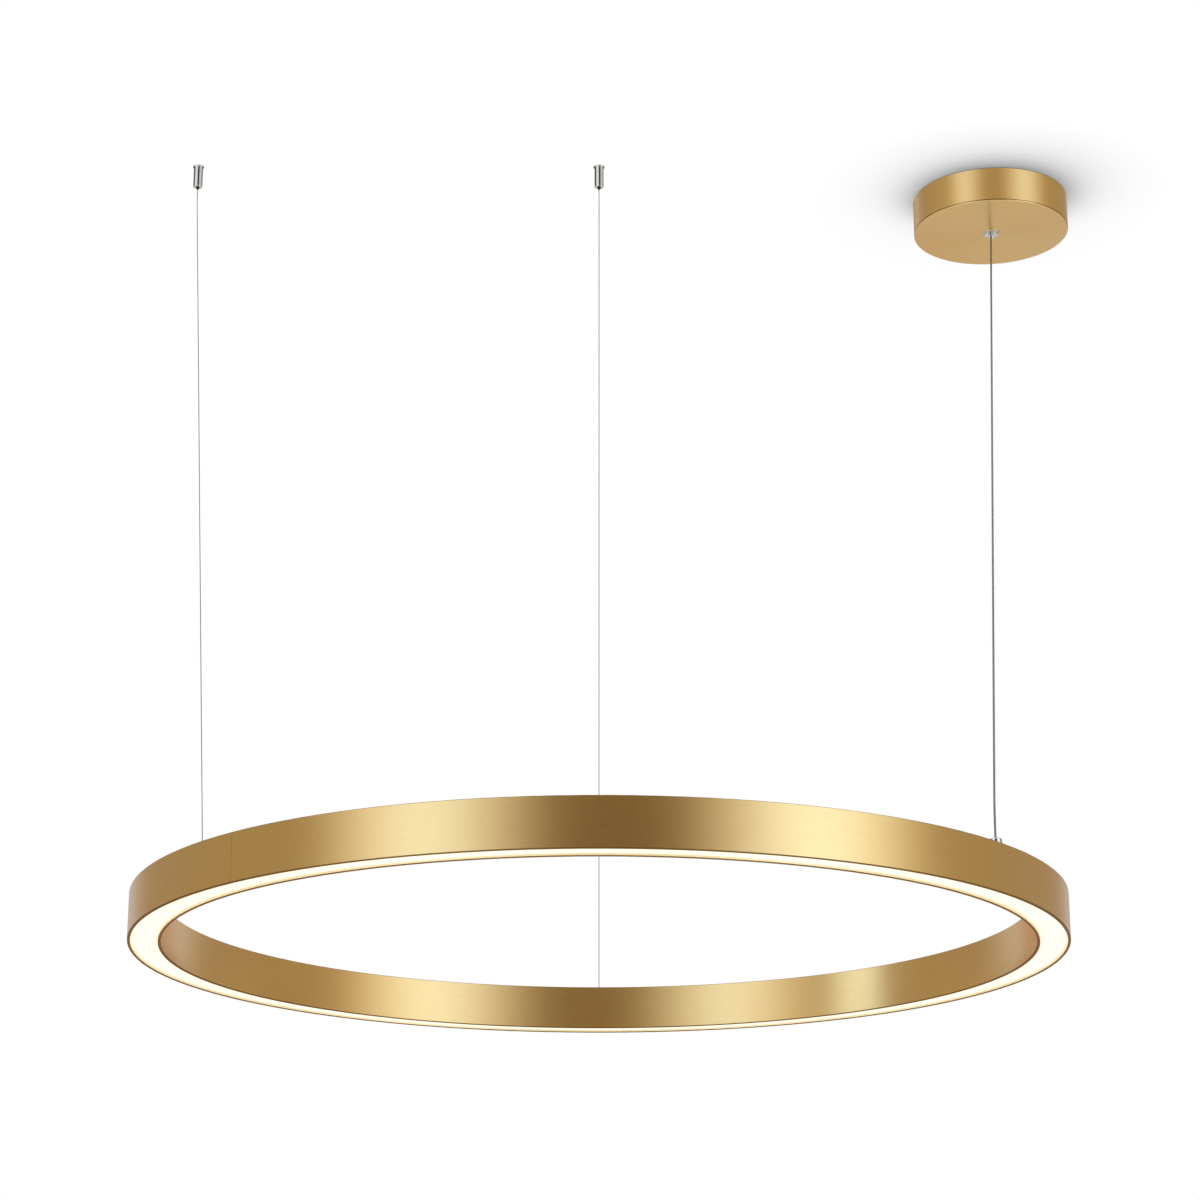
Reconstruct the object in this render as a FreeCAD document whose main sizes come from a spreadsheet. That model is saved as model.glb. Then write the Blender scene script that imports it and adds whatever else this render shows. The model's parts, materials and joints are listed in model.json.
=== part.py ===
"""LED ring chandelier: a brushed brass ring on two steel wires and one feed cable.

The frame has +Z up and the ceiling at Z = 0. Its origin is the middle of the centre
anchor's face on the ceiling. +X runs along the row of ceiling fittings, towards the
canopy, and the ring's centre lies behind that row, so that the three leaning lines
balance. Lengths are in millimetres, angles in degrees.
"""
import FreeCAD, Part
import Sketcher
import math
import os

from FreeCAD import Placement, Rotation, Vector

# Driving dimensions: name and value.
SIZES = [
    # Plan of the ceiling fittings and the ring
    ("anchor_spacing", 462.0),
    ("canopy_across", 462.0),
    ("canopy_back", 92.0),
    ("ring_back", 31.0),
    ("ring_drop", 863.0),
    ("line_angle", 54.25),
    # Ring channel
    ("ring_radius", 500.0),
    ("profile_width", 35.0),
    ("profile_height", 50.0),
    ("channel_wall", 2.0),
    ("channel_web", 2.0),
    ("rim_width", 3.0),
    ("rim_height", 5.0),
    ("edge_break", 0.5),
    ("small_chamfer", 0.4),
    ("ledge_width", 4.0),
    ("ledge_thickness", 1.5),
    ("ledge_height", 16.0),
    ("seam_angle", 45.0),
    ("seam_gap", 0.3),
    # Splice behind the seam
    ("splice_width", 23.0),
    ("splice_thickness", 2.5),
    ("splice_reach", 4.0),
    ("splice_screw_radius", 1.5),
    ("splice_head_radius", 2.8),
    ("splice_screw_length", 4.5),
    ("splice_screw_pitch", 15.0),
    # Diffuser
    ("diffuser_recess", 2.4),
    ("diffuser_thickness", 2.0),
    ("diffuser_gap", 0.3),
    ("diffuser_leg", 3.1),
    ("diffuser_leg_wall", 1.1),
    ("diffuser_barb", 0.9),
    # Light source
    ("carrier_thickness", 1.5),
    ("carrier_gap", 0.3),
    ("carrier_screw_radius", 1.0),
    ("carrier_head_radius", 1.9),
    ("carrier_head_height", 1.2),
    ("strip_width", 10.0),
    ("strip_thickness", 0.4),
    ("phosphor_width", 4.0),
    ("phosphor_thickness", 0.9),
    # Ceiling anchors
    ("cap_radius", 6.4),
    ("cap_lip", 0.7),
    ("cap_height", 1.6),
    ("cap_overhang", 0.3),
    ("cap_spigot_radius", 4.0),
    ("cap_spigot_length", 7.4),
    ("cap_bore_radius", 1.8),
    ("cap_sink_radius", 3.2),
    ("grip_radius", 5.2),
    ("grip_length", 24.4),
    ("grip_chamber_radius", 3.2),
    ("grip_throat_radius", 2.2),
    ("grip_throat_length", 3.0),
    ("grip_taper_length", 4.0),
    ("collet_gap", 0.15),
    ("collet_head_length", 4.0),
    ("collet_land", 0.3),
    ("collet_nose", 2.5),
    ("collet_tip_radius", 1.25),
    ("ball_radius", 1.05),
    ("spring_wire", 0.5),
    ("spring_turns", 4.0),
    ("spring_end_gap", 0.05),
    ("running_gap", 0.1),
    ("contact_gap", 0.02),
    ("thread_gap", 0.05),
    # Suspension wires and their ends in the ring
    ("wire_diameter", 1.0),
    ("wire_tail", 12.0),
    ("wire_corner_drop", 43.0),
    ("wire_corner_rise", 10.0),
    ("bush_radius", 3.0),
    ("bush_rise", 1.5),
    ("bush_flange_radius", 5.0),
    ("bush_flange_height", 2.0),
    ("stop_radius", 2.25),
    ("stop_length", 6.0),
    # Feed cable and its gland on the ring
    ("cable_diameter", 2.4),
    ("cable_corner_rise", 38.0),
    ("gland_radius", 6.85),
    ("gland_body_height", 6.3),
    ("gland_cap_radius", 6.3),
    ("gland_cap_height", 4.0),
    ("gland_cap_wall", 1.6),
    ("gland_cap_drop", 1.4),
    ("gland_cap_shoulder", 1.8),
    ("gland_stub_height", 2.0),
    ("gland_thread_radius", 3.9),
    ("gland_thread_length", 6.5),
    ("gland_nut_flats", 12.0),
    ("gland_nut_height", 3.0),
    ("connector_length", 16.0),
    ("connector_width", 12.0),
    ("connector_height", 12.0),
    ("connector_round", 1.0),
    ("lead_diameter", 1.1),
    ("lead_reach", 16.0),
    # Canopy
    ("canopy_radius", 90.0),
    ("canopy_height", 41.0),
    ("canopy_wall", 1.2),
    ("canopy_face", 1.5),
    ("canopy_round", 1.2),
    ("canopy_hole_gap", 0.2),
    ("washer_radius", 10.5),
    ("washer_edge", 0.3),
    ("washer_lip", 1.0),
    ("washer_sleeve_radius", 8.2),
    ("washer_sleeve_height", 5.0),
    ("washer_sleeve_wall", 1.5),
    ("washer_dish_radius", 9.0),
    ("washer_dish_depth", 3.0),
    ("washer_hole_radius", 3.0),
    ("washer_seat_width", 1.4),
    ("washer_seat_drop", 0.15),
    ("washer_floor", 1.1),
    ("ring_nut_radius", 12.0),
    ("ring_nut_height", 2.0),
    ("cord_grip_radius", 3.3),
    ("cord_grip_nose", 3.6),
    ("cord_grip_length", 8.0),
    # Mounting plate and what it carries
    ("plate_radius", 74.0),
    ("plate_thickness", 1.5),
    ("slot_spacing", 100.0),
    ("slot_length", 14.0),
    ("slot_width", 5.0),
    ("mains_hole_radius", 8.0),
    ("mains_hole_across", 24.0),
    ("driver_length", 96.0),
    ("driver_width", 36.0),
    ("driver_height", 24.0),
    ("driver_back", 42.0),
    ("driver_ear", 8.0),
    ("driver_ear_width", 16.0),
    ("driver_ear_thickness", 2.0),
    ("driver_round", 2.5),
    ("screw_radius", 1.5),
    ("screw_head_radius", 2.75),
    ("screw_head_height", 2.0),
    ("terminal_length", 30.0),
    ("terminal_width", 19.0),
    ("terminal_height", 14.0),
    ("terminal_front", 42.0),
    ("terminal_pitch", 9.5),
    ("terminal_round", 1.0),
    ("terminal_way_radius", 1.75),
    ("terminal_screw_radius", 1.6),
    ("terminal_screw_recess", 1.0),
    ("cable_block_size", 16.0),
    ("cable_block_height", 13.5),
    ("cable_block_round", 1.5),
    ("cable_end_depth", 6.0),
    ("block_screw_radius", 1.5),
    ("block_screw_recess", 0.5),
    ("block_screw_gap", 0.25),
    # Leads in the canopy
    ("canopy_lead_diameter", 2.4),
    ("canopy_lead_aside", 20.0),
    ("input_lead_run", 22.0),
    ("input_lead_rise", 24.0),
    ("output_lead_run", 30.0),
    ("output_lead_rise", 8.0),
]

CARRIER_SCREWS = 8
TERMINAL_POLES = 3
GRIP_BALLS = 3
ROOT_THREE = math.sqrt(3)


class Size:
    """A length or angle that knows its formula in the sheet and its present value."""

    def __init__(self, text, value):
        self.text = text
        self.value = value

    def join(self, sign, other, value):
        return Size("(%s %s %s)" % (self.text, sign, size(other).text), value)

    def __add__(self, other):
        return self.join("+", other, self.value + size(other).value)

    def __sub__(self, other):
        return self.join("-", other, self.value - size(other).value)

    def __mul__(self, other):
        return self.join("*", other, self.value * size(other).value)

    def __truediv__(self, other):
        return self.join("/", other, self.value / size(other).value)

    def __neg__(self):
        return Size("(0 - %s)" % self.text, -self.value)

    __radd__ = __add__
    __rmul__ = __mul__

    def __rsub__(self, other):
        return size(other) - self

    def sine(self):
        return Size("sin(%s * 1 deg)" % self.text, math.sin(math.radians(self.value)))

    def cosine(self):
        return Size("cos(%s * 1 deg)" % self.text, math.cos(math.radians(self.value)))


def size(thing):
    """A Size from a Size or a plain number."""
    return thing if isinstance(thing, Size) else Size("%.10g" % thing, float(thing))


class Sizes:
    """The sheet's rows as attributes, such as s.ring_radius."""

    def __init__(self, sheet):
        for name, _ in SIZES:
            setattr(self, name, Size("sizes." + name, float(sheet.get(name))))


def make_sheet(doc):
    sheet = doc.addObject("Spreadsheet::Sheet", "sizes")
    for row, (name, value) in enumerate(SIZES, start=1):
        sheet.set("A%d" % row, name)
        sheet.set("B%d" % row, "%g" % value)
        sheet.setAlias("B%d" % row, name)
    doc.recompute()
    return sheet


# ---------------------------------------------------------------- general operations

def bind(thing, **sizes):
    """Tie properties to formulas. Two underscores stand for a dot in the path."""
    for path, value in sizes.items():
        thing.setExpression(path.replace("__", "."), size(value).text)


def place(thing, x=0, y=0, z=0, turn=None):
    """Put a thing at x, y, z, turned about Z."""
    if turn is not None:
        thing.Placement = Placement(Vector(0, 0, 0), Rotation(Vector(0, 0, 1), 1))
        bind(thing, Placement__Rotation__Angle=turn)
    bind(thing, Placement__Base__x=x, Placement__Base__y=y, Placement__Base__z=z)
    return thing


def label(thing, name):
    thing.Label = name
    return thing


def origin_plane(body, role):
    return next(f for f in body.Origin.OriginFeatures if f.Role == role)


def draw_outline(sketch, corners):
    """Draw a closed outline whose corners are tied to the sheet."""
    count = len(corners)
    points = [Vector(size(x).value, size(y).value, 0) for x, y in corners]
    for i in range(count):
        sketch.addGeometry(Part.LineSegment(points[i], points[(i + 1) % count]), False)
    for i in range(count):
        sketch.addConstraint(Sketcher.Constraint("Coincident", i, 2, (i + 1) % count, 1))
    for i, (x, y) in enumerate(corners):
        for kind, value in (("DistanceX", size(x)), ("DistanceY", size(y))):
            row = sketch.addConstraint(Sketcher.Constraint(kind, -1, 1, i, 1, value.value))
            sketch.setExpression("Constraints[%d]" % row, value.text)


def new_body(doc, name, plane, corners):
    body = doc.addObject("PartDesign::Body", name)
    sketch = body.newObject("Sketcher::SketchObject", name + "_outline")
    sketch.AttachmentSupport = [(origin_plane(body, plane), "")]
    sketch.MapMode = "FlatFace"
    draw_outline(sketch, corners)
    return body, sketch


def turned(doc, name, corners):
    """A body of revolution about Z, from corners given as radius and height."""
    body, sketch = new_body(doc, name, "XZ_Plane", corners)
    feature = body.newObject("PartDesign::Revolution", name + "_turned")
    feature.Profile = sketch
    feature.ReferenceAxis = (sketch, ["V_Axis"])
    feature.Angle = 360
    sketch.Visibility = False
    return body


def padded(doc, name, length, width, height, corner=None):
    """A block centred on Z and standing on Z = 0, with rounded upright edges."""
    half_x, half_y = size(length) / 2, size(width) / 2
    corners = [(-half_x, -half_y), (half_x, -half_y), (half_x, half_y), (-half_x, half_y)]
    body, sketch = new_body(doc, name, "XY_Plane", corners)
    pad = body.newObject("PartDesign::Pad", name + "_pad")
    pad.Profile = sketch
    bind(pad, Length=height)
    if corner is not None:
        doc.recompute()
        upright = ["Edge%d" % (i + 1) for i, edge in enumerate(pad.Shape.Edges)
                   if abs(edge.tangentAt(edge.FirstParameter).z) > 0.99]
        rounding = body.newObject("PartDesign::Fillet", name + "_rounding")
        rounding.Base = (pad, upright)
        bind(rounding, Radius=corner)
    return body


def cylinder(doc, name, radius, height, x=0, y=0, z=0):
    thing = doc.addObject("Part::Cylinder", name)
    bind(thing, Radius=radius, Height=height)
    return place(thing, x, y, z)


def cone(doc, name, low_radius, high_radius, height, x=0, y=0, z=0):
    thing = doc.addObject("Part::Cone", name)
    bind(thing, Radius1=low_radius, Radius2=high_radius, Height=height)
    return place(thing, x, y, z)


def block(doc, name, length, width, height, x=0, y=0, z=0):
    """A box with one corner at x, y, z."""
    thing = doc.addObject("Part::Box", name)
    bind(thing, Length=length, Width=width, Height=height)
    return place(thing, x, y, z)


def fuse(doc, name, things):
    thing = doc.addObject("Part::MultiFuse", name)
    thing.Shapes = things
    return thing


def cut(doc, name, base, tools):
    thing = doc.addObject("Part::Cut", name)
    thing.Base = base
    thing.Tool = tools[0] if len(tools) == 1 else fuse(doc, name + "_tools", tools)
    return thing


def group(doc, name, things):
    """Separate solids that share one node."""
    thing = doc.addObject("Part::Compound", name)
    thing.Links = things
    return thing


def pan_screw(doc, name, s, length, x, y, z):
    """A screw whose head hangs below z and whose shank rises above it."""
    shank = cylinder(doc, name + "_shank", s.screw_radius - s.thread_gap, length, x, y, z)
    head = cylinder(doc, name + "_head", s.screw_head_radius, s.screw_head_height,
                    x, y, size(z) - s.screw_head_height)
    return fuse(doc, name, [head, shank])


# ---------------------------------------------------------------------------- routes

def rounded_path(points):
    """Straight runs joined by tangent arcs, each as large as its two runs allow."""
    edges = []
    start = points[0]
    for before, corner, after in zip(points, points[1:], points[2:]):
        back = before - corner
        ahead = after - corner
        reach = 0.45 * min(back.Length, ahead.Length)
        back.normalize()
        ahead.normalize()
        turn = math.pi - back.getAngle(ahead)
        first = corner + back * reach
        last = corner + ahead * reach
        radius = reach / math.tan(turn / 2)
        bisector = (back + ahead).normalize()
        centre = corner + bisector * (radius / math.cos(turn / 2))
        middle = centre - bisector * radius
        edges.append(Part.LineSegment(start, first).toShape())
        edges.append(Part.Arc(first, middle, last).toShape())
        start = last
        print("  bend of radius %.1f mm" % radius)
    edges.append(Part.LineSegment(start, points[-1]).toShape())
    return Part.Wire(edges)


def cord(doc, name, points, diameter):
    """A round cord along the route, as a shape set by its points."""
    print(name)
    path = rounded_path(points)
    direction = points[1] - points[0]
    section = Part.Wire([Part.Circle(points[0], direction, diameter / 2).toShape()])
    solid = path.makePipeShell([section], True, False)
    expected = math.pi * diameter ** 2 / 4 * path.Length
    print("  length %.1f mm, volume against section times length %.4f"
          % (path.Length, solid.Volume / expected))
    thing = doc.addObject("Part::Feature", name)
    thing.Shape = solid
    return label(thing, name)


# -------------------------------------------------------------------- shared places

def ring_top(s):
    """Height of the ring's top face."""
    return -s.ring_drop


def ring_low(s):
    """Height of the ring's lowest face."""
    return -(s.ring_drop + s.profile_height)


def channel_middle(s):
    """Radius of the middle of the channel."""
    return s.ring_radius - s.profile_width / 2


def line_foot(s, line):
    """Where a line enters the ring, from the ring's centre."""
    middle = channel_middle(s)
    across, along = middle * s.line_angle.sine(), middle * s.line_angle.cosine()
    return {"left": (-across, -along), "feed": (across, -along), "centre": (size(0), middle)}[line]


def line_head(s, line):
    """Where a line leaves the ceiling, in plan."""
    return {"left": (-s.anchor_spacing, size(0)), "centre": (size(0), size(0)),
            "feed": (s.canopy_across, s.canopy_back)}[line]


def vector(x, y, z):
    return Vector(size(x).value, size(y).value, size(z).value)


def foot_point(s, line, height):
    x, y = line_foot(s, line)
    return vector(x, y + s.ring_back, height)


def grip_pivot(s):
    """Centre of the cord grip's ball nose, on the cable's line."""
    depth = s.canopy_height + s.washer_lip - nose_height(s)
    return vector(s.canopy_across, s.canopy_back, -depth.value)


def nose_height(s):
    """Height of the ball nose's centre above the washer's face."""
    seat = s.washer_dish_depth.value
    drop = math.sqrt(s.cord_grip_nose.value ** 2 - s.washer_hole_radius.value ** 2)
    return size(seat - drop)


def cable_corner(s):
    """Where the feed cable turns upright above the ring."""
    return foot_point(s, "feed", ring_top(s) + s.cable_corner_rise)


def cable_direction(s):
    """Upward direction of the feed cable's long run."""
    return (grip_pivot(s) - cable_corner(s)).normalize()


def cable_point(s, height):
    """Where the line of the cable's long run reaches a height."""
    pivot, direction = grip_pivot(s), cable_direction(s)
    return pivot + direction * ((height - pivot.z) / direction.z)


# ------------------------------------------------------------------------------ ring

def channel_outline(s):
    """The channel's section: two walls with thick rims, a top web and two ledges."""
    outer, inner = s.ring_radius, s.ring_radius - s.profile_width
    top, edge = s.profile_height, s.edge_break
    wall_out, wall_in = outer - s.channel_wall, inner + s.channel_wall
    rim_out, rim_in = outer - s.rim_width, inner + s.rim_width
    ledge_out, ledge_in = wall_out - s.ledge_width, wall_in + s.ledge_width
    low, high = s.ledge_height, s.ledge_height + s.ledge_thickness
    under = top - s.channel_web
    return [
        (outer - edge, 0), (outer, edge), (outer, top - edge), (outer - edge, top),
        (inner + edge, top), (inner, top - edge), (inner, edge), (inner + edge, 0),
        (rim_in, 0), (rim_in, s.rim_height), (wall_in, s.rim_height),
        (wall_in, low), (ledge_in, low), (ledge_in, high), (wall_in, high), (wall_in, under),
        (wall_out, under), (wall_out, high), (ledge_out, high), (ledge_out, low),
        (wall_out, low), (wall_out, s.rim_height), (rim_out, s.rim_height), (rim_out, 0),
    ]


def carrier_screw_places(s):
    """Eight places on the outer ledge's middle, clear of the lines and the seam."""
    radius = s.ring_radius - s.channel_wall - s.ledge_width / 2
    for i in range(CARRIER_SCREWS):
        angle = math.radians(360.0 / CARRIER_SCREWS * (i + 0.5))
        yield radius * math.cos(angle), radius * math.sin(angle)


def splice_screw_places(s):
    """Four places, two on each side of the seam, from the ring's centre."""
    for side in (-1, 1):
        for row in (-1, 1):
            yield channel_middle(s) + row * s.splice_width / 4, side * s.splice_screw_pitch


def around_seam(thing, s):
    """Turn a thing made on +X to the seam's direction."""
    return place(thing, turn=270 - s.seam_angle)


def make_ring_channel(doc, s):
    body = turned(doc, "channel_section", channel_outline(s))
    under = s.profile_height - s.channel_web
    depth = s.channel_web + 2
    tools = []
    for line in ("left", "centre"):
        x, y = line_foot(s, line)
        tools.append(cylinder(doc, "bush_hole_" + line, s.bush_radius + s.running_gap, depth,
                              x, y, under - 1))
    x, y = line_foot(s, "feed")
    tools.append(cylinder(doc, "gland_hole", s.gland_thread_radius + s.running_gap, depth,
                          x, y, under - 1))
    for i, (x, y) in enumerate(carrier_screw_places(s)):
        tools.append(cylinder(doc, "ledge_hole_%d" % i, s.carrier_screw_radius,
                              s.ledge_thickness + 1, x, y, s.ledge_height - 0.5))
    seam = block(doc, "seam_slit", s.profile_width + 10, s.seam_gap, s.profile_height + 10,
                 s.ring_radius - s.profile_width - 5, -s.seam_gap / 2, -5)
    holes = [seam]
    for i, (x, y) in enumerate(splice_screw_places(s)):
        holes.append(cylinder(doc, "splice_hole_%d" % i, s.splice_screw_radius + s.running_gap,
                              depth, x, y, under - 1))
        holes.append(splice_cone(doc, "splice_sink_%d" % i, s, s.running_gap, x, y))
    tools.append(around_seam(fuse(doc, "seam_cuts", holes), s))
    ring = cut(doc, "ring_channel", body, tools)
    return place(ring, 0, s.ring_back, ring_low(s))


def splice_cone(doc, name, s, gap, x, y):
    """The cone under a countersunk head, grown by a gap."""
    height = s.splice_head_radius - s.splice_screw_radius
    return cone(doc, name, s.splice_screw_radius + gap, s.splice_head_radius + gap, height,
                x, y, s.profile_height - height)


def make_splice(doc, s):
    """A plate under the web behind the seam, and the countersunk screws that hold it."""
    half = s.splice_width / 2
    middle = channel_middle(s)
    top = s.profile_height - s.channel_web
    low = top - s.splice_thickness
    ring = turned(doc, "splice_ring", [(middle - half, low), (middle + half, low),
                                       (middle + half, top), (middle - half, top)])
    reach = s.ring_radius * (s.splice_reach * 1).sine()
    sector = block(doc, "splice_sector", s.ring_radius, reach * 2, s.profile_height, 0, -reach, 0)
    piece = doc.addObject("Part::Common", "splice_piece")
    piece.Base, piece.Tool = ring, sector
    holes = [cylinder(doc, "splice_thread_%d" % i, s.splice_screw_radius + s.thread_gap,
                      s.splice_thickness + 2, x, y, low - 1)
             for i, (x, y) in enumerate(splice_screw_places(s))]
    plate = cut(doc, "splice_plate", piece, holes)
    screws = []
    for i, (x, y) in enumerate(splice_screw_places(s)):
        shank = cylinder(doc, "splice_shank_%d" % i, s.splice_screw_radius,
                         s.splice_screw_length, x, y, s.profile_height - s.splice_screw_length)
        head = splice_cone(doc, "splice_head_%d" % i, s, 0, x, y)
        screws.append(fuse(doc, "splice_screw_%d" % i, [shank, head]))
    screws = group(doc, "splice_screws", screws)
    for thing in (plate, screws):
        place(thing, 0, s.ring_back, ring_low(s), turn=270 - s.seam_angle)
    return [plate, screws]


def make_diffuser(doc, s):
    """An opal strip whose two legs snap over the rims' shoulders."""
    gap = s.diffuser_gap
    outer = s.ring_radius - s.rim_width - gap
    inner = s.ring_radius - s.profile_width + s.rim_width + gap
    low = s.diffuser_recess
    plate = low + s.diffuser_thickness
    top = plate + s.diffuser_leg
    barb = s.rim_height + s.running_gap
    leg, hook = s.diffuser_leg_wall, s.diffuser_barb
    outline = [
        (inner, low), (outer, low), (outer, barb), (outer + hook, barb), (outer, top),
        (outer - leg, top), (outer - leg, plate), (inner + leg, plate), (inner + leg, top),
        (inner, top), (inner - hook, barb), (inner, barb),
    ]
    return place(turned(doc, "diffuser", outline), 0, s.ring_back, ring_low(s))


def lead_hole(s):
    """Where the ring lead goes down through the carrier, from the ring's centre."""
    radius = channel_middle(s).value
    way = math.radians(s.line_angle.value - 90)
    aside = s.connector_length.value / 2 + s.lead_reach.value
    foot = Vector(radius * math.cos(way), radius * math.sin(way), 0)
    return foot + Vector(-math.sin(way), math.cos(way), 0) * aside


def make_light_source(doc, s):
    """The carrier under the ledges, its screws, the LED strip and its phosphor."""
    gap = s.carrier_gap
    outer = s.ring_radius - s.channel_wall - gap
    inner = s.ring_radius - s.profile_width + s.channel_wall + gap
    top = s.ledge_height
    low = top - s.carrier_thickness
    middle = channel_middle(s)
    flat = turned(doc, "carrier_flat", [(inner, low), (outer, low), (outer, top), (inner, top)])
    holes = [cylinder(doc, "carrier_hole_%d" % i, s.carrier_screw_radius,
                      s.carrier_thickness + 2, x, y, low - 1)
             for i, (x, y) in enumerate(carrier_screw_places(s))]
    way = lead_hole(s)
    holes.append(cylinder(doc, "lead_way", s.lead_diameter / 2 + 0.5,
                          s.carrier_thickness + 2, way.x, way.y, low - 1))
    carrier = cut(doc, "led_carrier", flat, holes)
    screws = []
    for i, (x, y) in enumerate(carrier_screw_places(s)):
        shank = cylinder(doc, "carrier_shank_%d" % i, s.carrier_screw_radius - s.thread_gap,
                         s.carrier_thickness + s.ledge_thickness, x, y, low)
        head = cylinder(doc, "carrier_head_%d" % i, s.carrier_head_radius,
                        s.carrier_head_height, x, y, low - s.carrier_head_height)
        screws.append(fuse(doc, "carrier_screw_%d" % i, [shank, head]))
    strip_low = low - s.strip_thickness
    strip = turned(doc, "led_strip", band(middle, s.strip_width, strip_low, low))
    phosphor = turned(doc, "led_phosphor", band(middle, s.phosphor_width,
                                                strip_low - s.phosphor_thickness, strip_low))
    things = [carrier, group(doc, "carrier_screws", screws), strip, phosphor]
    return [place(thing, 0, s.ring_back, ring_low(s)) for thing in things]


def band(middle, width, low, high):
    """The section of a flat band round the ring."""
    return [(middle - width / 2, low), (middle + width / 2, low),
            (middle + width / 2, high), (middle - width / 2, high)]


def place_at_foot(thing, s, line, turn=None):
    x, y = line_foot(s, line)
    return place(thing, x, y + s.ring_back, ring_top(s), turn=turn)


def make_wire_end(doc, s, line):
    """The flanged bush in the web, and the stop crimped on the wire under it."""
    bore = s.wire_diameter / 2 + s.running_gap
    under = -s.channel_web
    low = under - s.bush_flange_height
    chamfer = s.small_chamfer
    bush = turned(doc, "wire_bush_" + line, [
        (bore, low), (s.bush_flange_radius, low), (s.bush_flange_radius, under),
        (s.bush_radius, under), (s.bush_radius, s.bush_rise - chamfer),
        (s.bush_radius - chamfer, s.bush_rise), (bore, s.bush_rise)])
    edge = s.edge_break
    stop = turned(doc, "wire_stop_" + line, [
        (0, low - s.stop_length), (s.stop_radius - edge, low - s.stop_length),
        (s.stop_radius, low - s.stop_length + edge), (s.stop_radius, low), (0, low)])
    return [place_at_foot(bush, s, line), place_at_foot(stop, s, line)]


def make_feed_gland(doc, s):
    """The low cable gland on the ring's top, its cap and its nut under the web."""
    bore = s.cable_diameter / 2 + s.running_gap
    top = s.gland_body_height
    stub = s.gland_cap_radius - s.gland_cap_wall
    edge = s.edge_break
    body = turned(doc, "feed_gland_body", [
        (bore, -s.gland_thread_length), (s.gland_thread_radius, -s.gland_thread_length),
        (s.gland_thread_radius, 0), (s.gland_radius - edge, 0), (s.gland_radius, edge),
        (s.gland_radius, top - edge), (s.gland_radius - edge, top), (stub, top),
        (stub, top + s.gland_stub_height), (bore, top + s.gland_stub_height)])
    roof = top + s.gland_stub_height
    cap_top = top + s.gland_cap_height
    cap = turned(doc, "feed_gland_cap", [
        (stub + s.running_gap, top), (s.gland_cap_radius, top),
        (s.gland_cap_radius, cap_top - s.gland_cap_drop),
        (s.gland_cap_radius - edge, cap_top - edge),
        (s.gland_cap_radius - s.gland_cap_shoulder, cap_top), (bore, cap_top), (bore, roof),
        (stub + s.running_gap, roof)])
    hexagon = doc.addObject("Part::Prism", "gland_hexagon")
    hexagon.Polygon = 6
    bind(hexagon, Circumradius=s.gland_nut_flats / ROOT_THREE, Height=s.gland_nut_height)
    under = -s.channel_web - s.gland_nut_height
    place(hexagon, 0, 0, under)
    hole = cylinder(doc, "gland_nut_hole", s.gland_thread_radius + s.running_gap,
                    s.gland_nut_height + 2, 0, 0, under - 1)
    nut = cut(doc, "feed_gland_nut", hexagon, [hole])
    return [place_at_foot(thing, s, "feed") for thing in (body, cap, nut)]


def make_ring_connector(doc, s):
    """The connector under the gland, standing on the carrier, and the lead to the strip."""
    low = s.ledge_height - s.profile_height
    connector = padded(doc, "ring_connector", s.connector_length, s.connector_width,
                       s.connector_height, corner=s.connector_round)
    x, y = line_foot(s, "feed")
    place(connector, x, y + s.ring_back, ring_top(s) + low, turn=s.line_angle)
    way = math.radians(s.line_angle.value - 90)
    aside = Vector(-math.sin(way), math.cos(way), 0)
    height = ring_low(s) + s.ledge_height + s.connector_height * 0.75
    middle = foot_point(s, "feed", height)
    start = middle + aside * (s.connector_length.value / 2)
    corner = start + aside * s.lead_reach.value
    floor = ring_low(s) + s.ledge_height - s.carrier_thickness
    end = Vector(corner.x, corner.y, floor.value)
    lead = cord(doc, "ring_lead", [start, corner, end], s.lead_diameter.value)
    return [connector, lead]


# ------------------------------------------------------------------- ceiling anchors

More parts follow.
